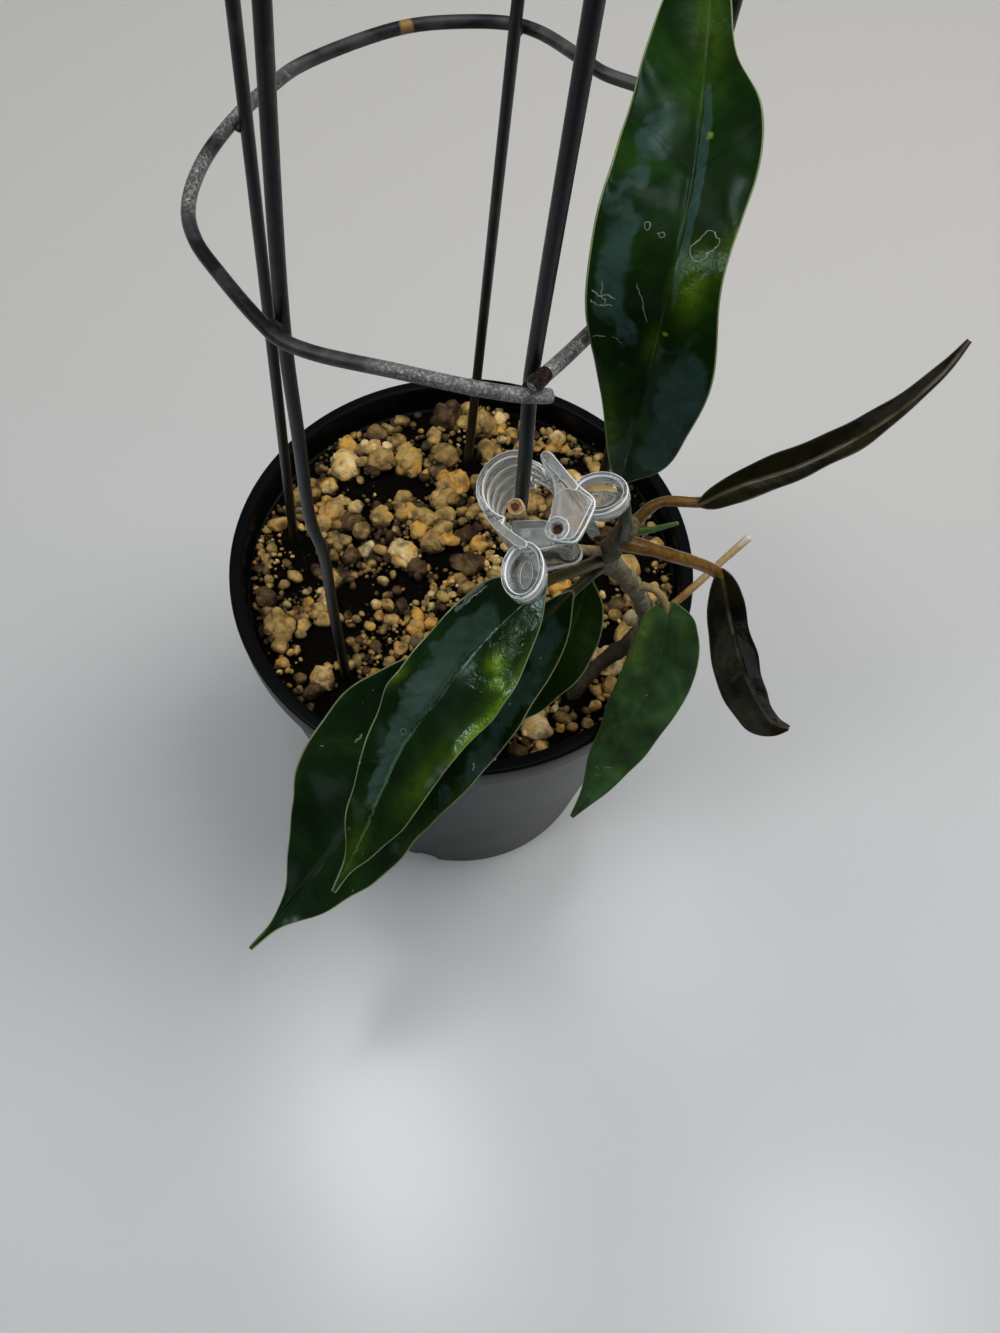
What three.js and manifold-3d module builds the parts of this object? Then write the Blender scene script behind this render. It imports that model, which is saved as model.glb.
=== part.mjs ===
// A young hoya in a 12 cm nursery pot, with a welded wire cage standing in the potting mix and a
// sprung plastic clip that closes round one wire of the cage.
// Millimetres, +Z up. The origin is the centre of the pot's base, on the surface that it stands on.
import * as THREE from 'three';
import { mergeVertices } from 'three/addons/utils/BufferGeometryUtils.js';
import Module from 'manifold-3d';

const wasm = await Module();
wasm.setup();

// ---------------------------------------------------------------- driving dimensions

const GAP = 0.3; // between pieces that touch

const POT = {
  height: 122,
  rimRadius: 60,
  rimHeight: 9,
  rimWidth: 3.5,
  baseRadius: 45,
  shoulderRadius: 57.8, // outside of the wall just under the rim band
  wall: 1.4,
  hubRadius: 14, // flat disc in the middle of the underside
  hubFloor: 1.6,
  floorHeight: 6, // underside of the raised floor round the hub
  floorThickness: 1.5,
  footWidth: 4,
  segments: 36,
};
const FOOT_ARCH = { width: 7.3, height: 5.6, count: 4, firstAngle: -1.737 };
const DRAIN = { radius: 3.2, ring: 27, count: 8, sides: 10 };

const SOIL = { level: 114, unevenness: 0.8, seed: 7 };
const GRIT = {
  count: 112,
  smallest: 2.7,
  largest: 4.2,
  swell: 1.12, // how far a stone's corners reach past its mean size
  reach: 55.9, // no stone passes this radius
  crowding: 0.86, // least distance between two stones, as a share of their sizes
  clearance: 2.8, // to the middle of a wire or of the stem
  tries: 12000,
};

const WIRE_RADIUS = 1.2;
const WIRE_SIDES = 8;
const CAGE = {
  upperHoop: 361,
  top: 366,
  rootDepth: 62, // height at which the wires end, inside the mix
  hoopLevel: 236, // where the places below are measured
  lean: [0.055, 0.054], // sideways run of most uprights for each millimetre of height
};

// Where each upright passes the lower hoop. Two of them were bent lower down.
const UPRIGHTS = [
  {
    name: 'upright_left_front',
    at: [-25.8, -31.3],
    lean: [0.082, 0.06],
    bends: [
      [-26.5, -32.9, 209.3], [-27.2, -33.5, 187], [-26.9, -33.6, 181], [-25.9, -33.7, 173.6],
      [-26.2, -33.8, 150], [-26.2, -34, 114],
    ],
  },
  { name: 'upright_left_back', at: [-38.7, 10.6], bends: [] },
  { name: 'upright_back', at: [4.8, 41.6], bends: [] },
  { name: 'upright_right', at: [38.2, 18.0], bends: [] },
  {
    name: 'upright_right_front',
    at: [12.9, -38.5],
    bends: [[12.9, -38.6, 233], [13, -40.4, 226.5], [13.1, -41.4, 220.5], [13.1, -41.4, 112]],
  },
];

// The lower hoop is one bent wire whose ends lap in front of the right front upright
const LOWER_HOOP_PATH = [
  [15.8, -41.6, 236], [12.5, -41.9, 236], [5.4, -41.4, 236], [-6.8, -39.4, 236], [-20.7, -37, 236],
  [-25.6, -35, 236], [-28.8, -32.2, 236], [-37, -23, 236], [-42.3, -16, 236], [-44.8, -9.2, 236],
  [-44.6, 1.5, 236], [-40.8, 14, 236], [-36.4, 22.4, 236], [-32.4, 28.3, 236], [-16.1, 40.8, 236],
  [-6.3, 43.9, 236], [4.2, 44.7, 236], [9.6, 42.8, 236], [17.1, 36.8, 236], [21.5, 33, 236],
  [28.1, 30.3, 236], [36.5, 26.5, 236], [41.8, 18, 236], [39, 2, 236.3], [31.5, -14, 236.9],
  [21.3, -30.4, 237.9], [17, -37.3, 238.8], [13.4, -42.2, 239],
];

// The clip's own frame: the near end of its hinge pin, and the way the pin points out of the plant
const CLIP = {
  origin: [19.18, -51.52, 215.98],
  axis: [-0.2249, -0.2789, 0.9336],
  length: 18,
  plate: 2, // thickness of each end plate of the fixed jaw
  sideGap: 0.4, // between the plates of the two jaws
  knuckleRadius: 2.1,
  pinRadius: 0.75,
  pinHole: 1.05,
  pinInset: 0.5,
  ringCentre: [-7.8, 7.1],
  ringInner: 5.2,
  ringOuter: 6.5,
  meetingAngle: 84, // degrees round the ring to where the jaws meet
  meetingGap: 4,
  ribs: 5,
  ribWidth: 1.8,
  ribInset: 0.4,
  tabFar: -5.6,
  tabNear: -1.4,
  tabRim: 0.9,
  tabFloor: 1,
};
const CLIP_TABS = {
  moving: { centre: [-5.5, -6.7], length: 4.9, width: 3.6, turn: 87 },
  fixed: { centre: [6.1, 6.5], length: 4.9, width: 3.7, turn: 10 },
};
const MOVING_JAW = {
  plate: 1.8,
  ringEnd: 258, // degrees
  arm: [
    [-8.6, 1.9], [-8.2, 0.2], [-6, -3.6], [-1.2, -2.5], [1, -1.8], [1.4, 1], [0, 2.1], [-4, 2.1],
  ],
  spine: [
    [-13, 3.2], [-11, 0.3], [-7.9, -2.2], [-5.4, -3.6], [-4.5, -2.5], [-7.3, -0.7], [-9.8, 1.2],
    [-11.8, 3.6],
  ],
  bar: [[-8.6, 1.9], [-8.4, 0.9], [-2.6, 1.2], [-2.6, 2.1]],
};
const FIXED_JAW = {
  wallInset: 0.5,
  ringStart: 30, // degrees
  plate: [
    [-1.2, 3.4], [-1.9, 0.8], [-1.5, -1.4], [0, -2.1], [1.9, -2.3], [3.3, -2.2], [4.7, 0.6], [6, 4],
    [5.7, 5.5], [2.7, 7.7], [0.3, 10.4], [-2.1, 13.3], [-3.2, 13.5], [-4.1, 12.7], [-3.1, 10.6],
    [-1.6, 8.8], [-0.9, 6.4],
  ],
  wall: [[-3.4, 2.8], [-2.2, 2.8], [-1.5, 8.8], [-2.2, 13.1], [-3.2, 13.4], [-4, 12.6], [-3, 10.5]],
  web: [[-2.2, 13.1], [-2.6, 11.4], [-0.4, 8.4], [1.6, 5.6], [2.9, 3.6], [4.6, 4.4], [2.6, 7.6]],
};
const SPRING = { radius: 1.5, wire: 0.32, turns: 5, stepsPerTurn: 8, near: -5.2, far: -12.8 };

const LEAF = { thickness: 0.7, along: 20, across: 2, veinDepth: 0.35 };

// Each leaf: its midrib from base to tip, its stalk from the stem to the blade, the way its upper
// face looks, its half widths on the left and right at even steps, how far it folds along the
// midrib, and the wave of its edges
const LEAVES = [
  {
    name: 'leaf_upright',
    spine: [[29.9, -37.2, 210], [30.3, -36.4, 222.9], [31.1, -32.8, 240.5], [31.8, -29.2, 248.3],
      [33.3, -17.3, 256.2], [34.2, 1.4, 262.7], [34.1, 12.1, 266.5], [32.1, 24.1, 270.8]],
    stalk: [[32.4, -37.9, 195.5], [31.8, -38.9, 203], [29.9, -37.2, 210]],
    stalkRadius: [1.5, 1.1],
    face: [-0.12, -0.75, 0.64],
    left: [1.6, 3.6, 5.6, 8.2, 10.8, 12.4, 12.2, 11.2, 10, 8.6, 7, 4.2, 0.5],
    right: [1.6, 6.8, 8.6, 9.6, 9.2, 6.9, 8, 9.4, 8, 4.6, 3, 1.8, 0.5],
    fold: 0.18, wave: 0.8, waves: 4.5, phase: 0.4,
  },
  {
    name: 'leaf_front_upper',
    spine: [[18.9, -46.2, 190], [13.8, -50.8, 186], [6.1, -57.5, 180], [0.4, -64.2, 173],
      [-5.9, -71, 164], [-10.3, -78.6, 154], [-14.1, -85.6, 145], [-19.2, -93.4, 135]],
    stalk: [[31.3, -32.6, 179], [25.1, -40.5, 186], [18.9, -46.2, 190]],
    stalkRadius: [1.4, 1.1],
    face: [0.08, -0.38, 0.92],
    left: [1.4, 5.6, 9, 10.8, 10.8, 9.8, 9.6, 9, 8, 6.6, 3.8, 1.4, 0.4],
    right: [2.4, 7.6, 8.4, 8.6, 9.4, 9.2, 7.8, 6.4, 6, 5, 2.8, 1, 0.4],
    fold: 0.22, wave: 0.7, waves: 5, phase: 1.1,
  },
  {
    name: 'leaf_front_lower',
    spine: [[24.8, -40.8, 178], [17.3, -46.1, 170], [8, -53.4, 161], [-1.7, -60.8, 151],
      [-11.8, -70.4, 140], [-21, -82, 128], [-30.6, -92.6, 118], [-39.6, -101.7, 110]],
    stalk: [[31.2, -31.5, 174], [28.4, -36.5, 178], [24.8, -40.8, 178]],
    stalkRadius: [1.4, 1.1],
    face: [0.09, -0.35, 0.93],
    left: [1.4, 7.4, 10.2, 12.8, 14.2, 14.6, 14.2, 13.4, 12.4, 9.8, 6.6, 1.8, 0.4],
    right: [1.4, 2.8, 4, 9.5, 15, 18, 18.6, 17, 14, 9.6, 3.8, 0.9, 0.4],
    fold: 0.14, wave: 0.9, waves: 4.5, phase: 2.6,
  },
  {
    name: 'leaf_small_behind',
    spine: [[28.5, -32.8, 170], [27.6, -36.2, 164], [25.9, -40.3, 157], [22.8, -44.8, 150],
      [18.7, -49.2, 143], [14.2, -53.3, 137]],
    stalk: [[34, -29.4, 169], [31.2, -31.4, 172], [28.5, -32.8, 170]],
    stalkRadius: [0.9, 0.8],
    face: [-0.05, -0.45, 0.89],
    left: [1.4, 4.6, 6, 6.4, 6, 5.2, 4, 2, 0.4],
    right: [1.2, 4.8, 5, 4.4, 3.8, 3.6, 3, 1.8, 0.4],
    fold: 0.2, wave: 0.5, waves: 2.5, phase: 0,
  },
  {
    name: 'leaf_hanging',
    spine: [[47.8, -29.9, 154], [47.8, -35.5, 147], [45.5, -42.7, 138], [41.7, -50, 128],
      [37.3, -57.1, 118], [32.1, -63.9, 110]],
    stalk: [[39.5, -25.2, 156.5], [44.3, -26.7, 158], [47.8, -29.9, 154]],
    stalkRadius: [1, 0.9],
    face: [-0.12, -0.4, 0.91],
    left: [5.6, 8.2, 8.9, 8.2, 7.2, 6, 4.4, 2.4, 0.4],
    right: [4.8, 6.8, 7.4, 7.2, 6.8, 5.8, 4.2, 2, 0.4],
    fold: 0.2, wave: 0.5, waves: 2.5, phase: 1.6,
  },
  {
    name: 'leaf_young_long',
    spine: [[46, -34.6, 203], [51.8, -32, 205], [61.9, -28.8, 208], [71.9, -23.5, 211],
      [80.2, -17.6, 214], [86.4, -11.6, 217], [89.5, -7.6, 220]],
    stalk: [[33.4, -36.2, 194.4], [38, -33.8, 200.3], [46, -34.6, 203]],
    stalkRadius: [1.3, 1],
    face: [-0.28, -0.61, 0.74],
    left: [1.4, 2.6, 3.5, 3.4, 3, 2.6, 2.2, 1.6, 0.4],
    right: [1.8, 2.8, 2.4, 2, 2, 1.6, 1, 0.6, 0.4],
    fold: 0.75, wave: 0.3, waves: 3, phase: 0.5,
  },
  {
    name: 'leaf_young_short',
    spine: [[53.4, -37.5, 183], [56.2, -43.5, 177], [60.3, -49, 169], [65.2, -52.7, 161],
      [70, -54.6, 155], [74.4, -54.3, 152]],
    stalk: [[32.4, -36.4, 190.6], [41, -37.5, 189.6], [53.4, -37.5, 183]],
    stalkRadius: [1.4, 1.1],
    face: [-0.22, -0.45, 0.87],
    left: [2.2, 3.4, 3.3, 3.3, 3.2, 2.6, 1.9, 1.5, 0.4],
    right: [1.8, 3.9, 4.8, 5.4, 5.9, 5.8, 5, 2.9, 0.5],
    fold: 0.6, wave: 0.3, waves: 2, phase: 2,
  },
];

const STEM = {
  path: [
    [27.5, -35.5, 84], [31.3, -32, 114], [36.9, -26.1, 119.4], [42.8, -23, 125.8], [46.2, -21, 133],
    [43, -22.4, 146], [39.3, -25.3, 157], [34.9, -28.6, 168], [31.4, -32.3, 178], [31.6, -35, 187],
    [33.2, -37.3, 197.5],
  ],
  radii: [1.7, 1.8, 1.8, 1.9, 2.3, 2, 2, 2.1, 2.3, 1.9, 2.1],
  sides: 8,
  steps: 30,
};
const STEM_KNOB = { at: [42.4, -18.6, 131.4], from: [46, -21, 132], radius: 2.3, neck: 1.3 };
const STEM_NUBS = [
  { from: [31.4, -32.3, 177], to: [27.4, -33, 180.5], radius: 1 },
  { from: [31.6, -34, 184], to: [35.6, -33.4, 185.8], radius: 0.9 },
];

const SPENT_STALK = {
  path: [
    [46.4, -21, 134.5], [51.2, -18.4, 137.5], [55.1, -16.2, 142], [60.9, -11.9, 148], [66.4, -7.7, 153],
  ],
  radii: [0.95, 0.9, 0.9, 0.85, 0.95],
};
const SPROUT = {
  path: [[33, -37.3, 194.8], [37.4, -38.4, 198.6], [41.2, -39, 202]],
  radii: [0.8, 0.6, 0.35],
};

// The dry stick: its place in the clip's own frame, and the leaf scar that it grew from
const DRY_STICK = {
  radius: 0.95,
  cutRadius: 1.35,
  place: [-7.2, 3.6],
  along: [-1.2, -5, -13, -21],
  root: [31.5, -34, 183],
};

const COLOURS = {
  pot: { color: 0x1b1b1d, roughness: 0.55, metalness: 0 },
  soil: { color: 0x6b5230, roughness: 0.95, metalness: 0 },
  wire: { color: 0x2b2d30, roughness: 0.5, metalness: 0.6 },
  clip: { color: 0xdfe6e6, roughness: 0.15, metalness: 0 },
  steel: { color: 0x8d8579, roughness: 0.35, metalness: 0.9 },
  leaf: { color: 0x12351a, roughness: 0.3, metalness: 0 },
  youngLeaf: { color: 0x17130f, roughness: 0.35, metalness: 0 },
  stem: { color: 0x6d6a52, roughness: 0.85, metalness: 0 },
  stalk: { color: 0xb08a4e, roughness: 0.7, metalness: 0 },
  sprout: { color: 0x3f6a25, roughness: 0.5, metalness: 0 },
};

// ---------------------------------------------------------------- general helpers

function seededRandom(seed) {
  let state = seed >>> 0;
  return () => {
    state = (state + 0x6d2b79f5) >>> 0;
    let t = state;
    t = Math.imul(t ^ (t >>> 15), t | 1);
    t ^= t + Math.imul(t ^ (t >>> 7), t | 61);
    return ((t ^ (t >>> 14)) >>> 0) / 4294967296;
  };
}

const vector = ([x, y, z]) => new THREE.Vector3(x, y, z);

function toSolid(geometry) {
  const bare = geometry.clone();
  for (const name of Object.keys(bare.attributes)) {
    if (name !== 'position') bare.deleteAttribute(name);
  }
  const merged = mergeVertices(bare, 1e-4);
  return new wasm.Manifold(new wasm.Mesh({
    numProp: 3,
    vertProperties: new Float32Array(merged.attributes.position.array),
    triVerts: new Uint32Array(merged.index.array),
  }));
}

function toGeometry(solid) {
  const mesh = solid.getMesh();
  const geometry = new THREE.BufferGeometry();
  geometry.setAttribute('position', new THREE.BufferAttribute(mesh.vertProperties, 3));
  geometry.setIndex(new THREE.BufferAttribute(mesh.triVerts, 1));
  return geometry;
}

function joined(geometries) {
  return geometries.map(toSolid).reduce((whole, piece) => whole.add(piece));
}

// A closed skin over a row of rings, each with the same number of points, anticlockwise seen from
// the side that the row runs towards
function skinOver(rings, closed = false) {
  const count = rings[0].length;
  const points = rings.flat();
  const index = [];
  const bands = closed ? rings.length : rings.length - 1;
  for (let i = 0; i < bands; i += 1) {
    const here = i * count;
    const next = ((i + 1) % rings.length) * count;
    for (let j = 0; j < count; j += 1) {
      const k = (j + 1) % count;
      index.push(here + j, here + k, next + k);
      index.push(here + j, next + k, next + j);
    }
  }
  if (!closed) {
    const last = (rings.length - 1) * count;
    for (let j = 1; j < count - 1; j += 1) {
      index.push(0, j + 1, j);
      index.push(last, last + j, last + j + 1);
    }
  }
  const geometry = new THREE.BufferGeometry();
  const numbers = points.flatMap((p) => p.toArray());
  geometry.setAttribute('position', new THREE.Float32BufferAttribute(numbers, 3));
  geometry.setIndex(index);
  return geometry;
}

function sampled(values, t) {
  const place = t * (values.length - 1);
  const i = Math.min(Math.floor(place), values.length - 2);
  return THREE.MathUtils.lerp(values[i], values[i + 1], place - i);
}

// A round tube whose radius changes along its path
function taperedTube(path, radii, sides, steps, grow = 0) {
  const curve = new THREE.CatmullRomCurve3(path.map(vector), false, 'centripetal');
  const frames = curve.computeFrenetFrames(steps, false);
  const rings = [];
  for (let i = 0; i <= steps; i += 1) {
    const u = i / steps;
    const centre = curve.getPointAt(u);
    if (i === 0 || i === steps) centre.addScaledVector(frames.tangents[i], i === 0 ? -grow : grow);
    const radius = sampled(radii, curve.getUtoTmapping(u, null)) + grow;
    rings.push(ringAround(centre, frames.normals[i], frames.binormals[i], radius, sides));
  }
  return skinOver(rings);
}

function ringAround(centre, normal, binormal, radius, sides) {
  return Array.from({ length: sides }, (_, j) => {
    const angle = (2 * Math.PI * j) / sides;
    return centre.clone()
      .addScaledVector(normal, radius * Math.cos(angle))
      .addScaledVector(binormal, radius * Math.sin(angle));
  });
}

function circleShape(radius, sides) {
  const points = Array.from({ length: sides }, (_, j) => {
    const angle = (2 * Math.PI * j) / sides;
    return new THREE.Vector2(radius * Math.cos(angle), radius * Math.sin(angle));
  });
  return new THREE.Shape(points);
}

// A wire of even thickness along a path
function wireAlong(points, radius, steps, sides = WIRE_SIDES) {
  const extrudePath = new THREE.CatmullRomCurve3(points.map(vector), false, 'centripetal');
  return new THREE.ExtrudeGeometry(circleShape(radius, sides), { steps, extrudePath, bevelEnabled: false });
}

function turnedUpright(profile, segments) {
  const points = profile.map(([r, z]) => new THREE.Vector2(r, z));
  return new THREE.LatheGeometry(points, segments).rotateX(Math.PI / 2);
}

const object = new THREE.Group();

function addPart(name, geometry, finish, group = object) {
  const mesh = new THREE.Mesh(geometry, new THREE.MeshStandardMaterial(COLOURS[finish]));
  mesh.name = name;
  group.add(mesh);
}

// ---------------------------------------------------------------- pot

function potWallRadius(z) {
  return THREE.MathUtils.mapLinear(z, 0, POT.height - POT.rimHeight, POT.baseRadius, POT.shoulderRadius);
}

function potProfile() {
  const band = POT.height - POT.rimHeight;
  const floorTop = POT.floorHeight + POT.floorThickness;
  const footInner = POT.baseRadius - POT.footWidth;
  const mouth = POT.rimRadius - POT.rimWidth;
  return [
    [0, 0], [POT.hubRadius, 0], [POT.hubRadius + 1.6, POT.floorHeight],
    [footInner, POT.floorHeight], [footInner + 1, 0], [POT.baseRadius, 0],
    [potWallRadius(band), band], [POT.rimRadius - 0.3, band + 0.6], [POT.rimRadius, POT.height - 0.6],
    [POT.rimRadius - 0.6, POT.height], [mouth + 0.5, POT.height], [mouth, POT.height - 0.6],
    [potWallRadius(band) - POT.wall, band - 1], [potWallRadius(floorTop) - POT.wall, floorTop],
    [POT.hubRadius, floorTop], [POT.hubRadius - 1.6, POT.hubFloor], [0, POT.hubFloor],
  ];
}

function footArch(angle) {
  const outline = new THREE.Shape();
  const half = FOOT_ARCH.width / 2;
  outline.moveTo(-half, -1);
  outline.lineTo(half, -1);
  outline.lineTo(half, FOOT_ARCH.height - half);
  outline.absarc(0, FOOT_ARCH.height - half, half, 0, Math.PI, false);
  outline.lineTo(-half, -1);
  const depth = POT.footWidth + 4;
  return new THREE.ExtrudeGeometry(outline, { depth, bevelEnabled: false, curveSegments: 5 })
    .rotateX(Math.PI / 2)
    .rotateZ(Math.PI / 2)
    .translate(POT.baseRadius - POT.footWidth - 1.5, 0, 0)
    .rotateZ(angle);
}

function drainHole(angle) {
  const height = 4 * POT.floorThickness;
  return new THREE.CylinderGeometry(DRAIN.radius, DRAIN.radius, height, DRAIN.sides)
    .rotateX(Math.PI / 2)
    .translate(DRAIN.ring * Math.cos(angle), DRAIN.ring * Math.sin(angle), POT.floorHeight);
}

function buildPot() {
  let pot = toSolid(turnedUpright(potProfile(), POT.segments));
  for (let i = 0; i < FOOT_ARCH.count; i += 1) {
    pot = pot.subtract(toSolid(footArch(FOOT_ARCH.firstAngle + (2 * Math.PI * i) / FOOT_ARCH.count)));
  }
  for (let i = 0; i < DRAIN.count; i += 1) {
    pot = pot.subtract(toSolid(drainHole((2 * Math.PI * (i + 0.5)) / DRAIN.count)));
  }
  addPart('pot', toGeometry(pot), 'pot');
}

// ---------------------------------------------------------------- wire cage

function onUpright(upright, height) {
  const rise = height - CAGE.hoopLevel;
  const [leanX, leanY] = upright.lean ?? CAGE.lean;
  return [upright.at[0] + rise * leanX, upright.at[1] + rise * leanY, height];
}

function uprightPath(upright, bottom = CAGE.rootDepth) {
  const upper = [onUpright(upright, CAGE.top), onUpright(upright, CAGE.hoopLevel)];
  if (upright.bends.length === 0) return [upper[0], onUpright(upright, bottom)];
  const [x, y] = upright.bends.at(-1);
  return [...upper, ...upright.bends, [x, y, bottom]];
}

// Nearly upright wires are skinned over level rings, from the bottom to the top
function standingWire(path, radius) {
  const x = new THREE.Vector3(1, 0, 0);
  const y = new THREE.Vector3(0, 1, 0);
  const rings = path.map((point) => ringAround(vector(point), x, y, radius, WIRE_SIDES));
  return skinOver(rings.reverse());
}

function upperHoopPath() {
  const places = UPRIGHTS.map((upright) => onUpright(upright, CAGE.upperHoop));
  const sum = places.reduce((total, p) => total.add(vector(p)), new THREE.Vector3());
  const centre = sum.divideScalar(places.length);
  const corners = places.map((p) => {
    const outward = vector(p).sub(centre);
    return outward.setLength(outward.length() + 2 * (WIRE_RADIUS + GAP));
  }).sort((a, b) => Math.atan2(a.y, a.x) - Math.atan2(b.y, b.x));
  return corners.flatMap((corner, i) => {
    const next = corners[(i + 1) % corners.length];
    const between = corner.clone().add(next).setLength((corner.length() + next.length()) / 2);
    return [corner.clone().add(centre), between.add(centre)];
  });
}

function upperHoop() {
  const steps = 40;
  const curve = new THREE.CatmullRomCurve3(upperHoopPath(), true, 'centripetal');
  const up = new THREE.Vector3(0, 0, 1);
  const rings = Array.from({ length: steps }, (_, i) => {
    const across = curve.getTangentAt(i / steps).cross(up).normalize();
    return ringAround(curve.getPointAt(i / steps), up, across, WIRE_RADIUS, WIRE_SIDES);
  });
  return skinOver(rings, true);
}

function buildCage() {
  for (const upright of UPRIGHTS) {
    addPart(upright.name, standingWire(uprightPath(upright), WIRE_RADIUS), 'wire');
  }
  addPart('hoop_lower', wireAlong(LOWER_HOOP_PATH, WIRE_RADIUS, 58), 'wire');
  addPart('hoop_upper', upperHoop(), 'wire');
}

// ---------------------------------------------------------------- stem and leaves

function stemGeometry(grow = 0) {
  return taperedTube(STEM.path, STEM.radii, STEM.sides, STEM.steps, grow);
}

function nubGeometry({ from, to, radius }) {
  return taperedTube([from, to], [radius, radius * 0.45], 6, 3);
}

function stemSolid() {
  const knob = new THREE.IcosahedronGeometry(STEM_KNOB.radius, 1).translate(...STEM_KNOB.at);
  const neck = nubGeometry({ from: STEM_KNOB.from, to: STEM_KNOB.at, radius: STEM_KNOB.neck });
  return joined([stemGeometry(), knob, neck, ...STEM_NUBS.map(nubGeometry)]);
}

// The stem with a little room round it, which seats a stalk against its bark
const stemSeat = toSolid(stemGeometry(GAP));

// One row of points across a blade, from its left edge to its right edge
function bladeRow(leaf, curve, t) {
  const middle = curve.getPointAt(t);
  const along = curve.getTangentAt(t);
  const up = vector(leaf.face).addScaledVector(along, -vector(leaf.face).dot(along)).normalize();
  const across = new THREE.Vector3().crossVectors(along, up);
  const row = [];
  for (let j = -LEAF.across; j <= LEAF.across; j += 1) {
    const share = j / LEAF.across;
    const width = sampled(j < 0 ? leaf.left : leaf.right, t) * share;
    const turns = 2 * Math.PI * leaf.waves * t + leaf.phase + 1.3 * share;
    const wave = leaf.wave * Math.sin(Math.PI * t) * share ** 2 * Math.sin(turns);
    const lift = leaf.fold * Math.abs(width) + wave - (j === 0 ? LEAF.veinDepth : 0);
    row.push(middle.clone().addScaledVector(across, width).addScaledVector(up, lift));
  }
  return row;
}

function gridNormal(grid, i, j) {
  const before = grid[Math.max(i - 1, 0)][j];
  const after = grid[Math.min(i + 1, grid.length - 1)][j];
  const left = grid[i][Math.max(j - 1, 0)];
  const right = grid[i][Math.min(j + 1, grid[i].length - 1)];
  return right.clone().sub(left).cross(after.clone().sub(before)).normalize();
}

// A thin blade: the two faces are split into the same triangles, and a strip closes the edge
function bladeGeometry(leaf) {
  const curve = new THREE.CatmullRomCurve3(leaf.spine.map(vector), false, 'centripetal');
  const rows = Math.round(LEAF.along * Math.max(0.6, Math.min(1, curve.getLength() / 80)));
  const upper = Array.from({ length: rows + 1 }, (_, i) => bladeRow(leaf, curve, i / rows));
  const lower = upper.map((row, i) => row.map((p, j) => (
    p.clone().addScaledVector(gridNormal(upper, i, j), -LEAF.thickness)
  )));
  const columns = upper[0].length;
  const size = upper.length * columns;
  const top = (i, j) => i * columns + j;
  const under = (i, j) => size + top(i, j);
  const index = [];
  for (let i = 0; i < rows; i += 1) {
    for (let j = 0; j < columns - 1; j += 1) {
      index.push(top(i, j), top(i, j + 1), top(i + 1, j + 1), top(i, j), top(i + 1, j + 1), top(i + 1, j));
      index.push(under(i, j), under(i + 1, j + 1), under(i, j + 1));
      index.push(under(i, j), under(i + 1, j), under(i + 1, j + 1));
    }
  }
  const rim = [];
  for (let j = 0; j < columns - 1; j += 1) rim.push([0, j]);
  for (let i = 0; i < rows; i += 1) rim.push([i, columns - 1]);
  for (let j = columns - 1; j > 0; j -= 1) rim.push([rows, j]);
  for (let i = rows; i > 0; i -= 1) rim.push([i, 0]);
  rim.forEach(([i, j], k) => {
    const [m, n] = rim[(k + 1) % rim.length];
    index.push(top(i, j), under(i, j), under(m, n), top(i, j), under(m, n), top(m, n));
  });
  const geometry = new THREE.BufferGeometry();
  const points = [...upper.flat(), ...lower.flat()].flatMap((p) => p.toArray());
  geometry.setAttribute('position', new THREE.Float32BufferAttribute(points, 3));
  geometry.setIndex(index);
  return geometry;
}

// The stalk runs on under the blade as the raised midrib
function stalkGeometry(leaf) {
  const curve = new THREE.CatmullRomCurve3(leaf.spine.map(vector), false, 'centripetal');
  const under = vector(leaf.face).normalize().multiplyScalar(-0.5 * LEAF.thickness - LEAF.veinDepth);
  const rib = [0.12, 0.26, 0.42].map((t) => curve.getPointAt(t).add(under).toArray());
  const [thick, thin] = leaf.stalkRadius;
  return taperedTube([...leaf.stalk, ...rib], [thick, thin, thin, thin * 0.8, thin * 0.6, 0.3], 5, 11);
}

function buildPlant() {
  addPart('main_stem', toGeometry(stemSolid()), 'stem');
  for (const leaf of LEAVES) {
    const solid = joined([bladeGeometry(leaf), stalkGeometry(leaf)]).subtract(stemSeat);
    addPart(leaf.name, toGeometry(solid), leaf.name.includes('young') ? 'youngLeaf' : 'leaf');
  }
  const spent = toSolid(taperedTube(SPENT_STALK.path, SPENT_STALK.radii, 7, 14));
  addPart('spent_flower_stalk', toGeometry(spent.subtract(stemSeat)), 'stalk');
  const sprout = toSolid(taperedTube(SPROUT.path, SPROUT.radii, 6, 6));
  addPart('sprout', toGeometry(sprout.subtract(stemSeat)), 'sprout');
}

// ---------------------------------------------------------------- clip

const clipAxis = vector(CLIP.axis).normalize();
const clipAcross = new THREE.Vector3(1, 0, 0).addScaledVector(clipAxis, -clipAxis.x).normalize();
const clipUp = new THREE.Vector3().crossVectors(clipAxis, clipAcross);
const clipMatrix = new THREE.Matrix4()
  .makeBasis(clipAcross, clipUp, clipAxis)
  .setPosition(...CLIP.origin);

const clip = new THREE.Group();
clip.applyMatrix4(clipMatrix);
object.add(clip);

const radians = THREE.MathUtils.degToRad;

function slab(shape, from, to, curveSegments = 7) {
  return new THREE.ExtrudeGeometry(shape, { depth: to - from, bevelEnabled: false, curveSegments })
    .translate(0, 0, from);
}

function polygon(points) {
  return new THREE.Shape(points.map(([x, y]) => new THREE.Vector2(x, y)));
}

function arcShape(startDegrees, endDegrees) {
  const [x, y] = CLIP.ringCentre;
  const shape = new THREE.Shape();
  shape.absarc(x, y, CLIP.ringOuter, radians(startDegrees), radians(endDegrees), false);
  shape.absarc(x, y, CLIP.ringInner, radians(endDegrees), radians(startDegrees), true);
  shape.closePath();
  return shape;
}

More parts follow.
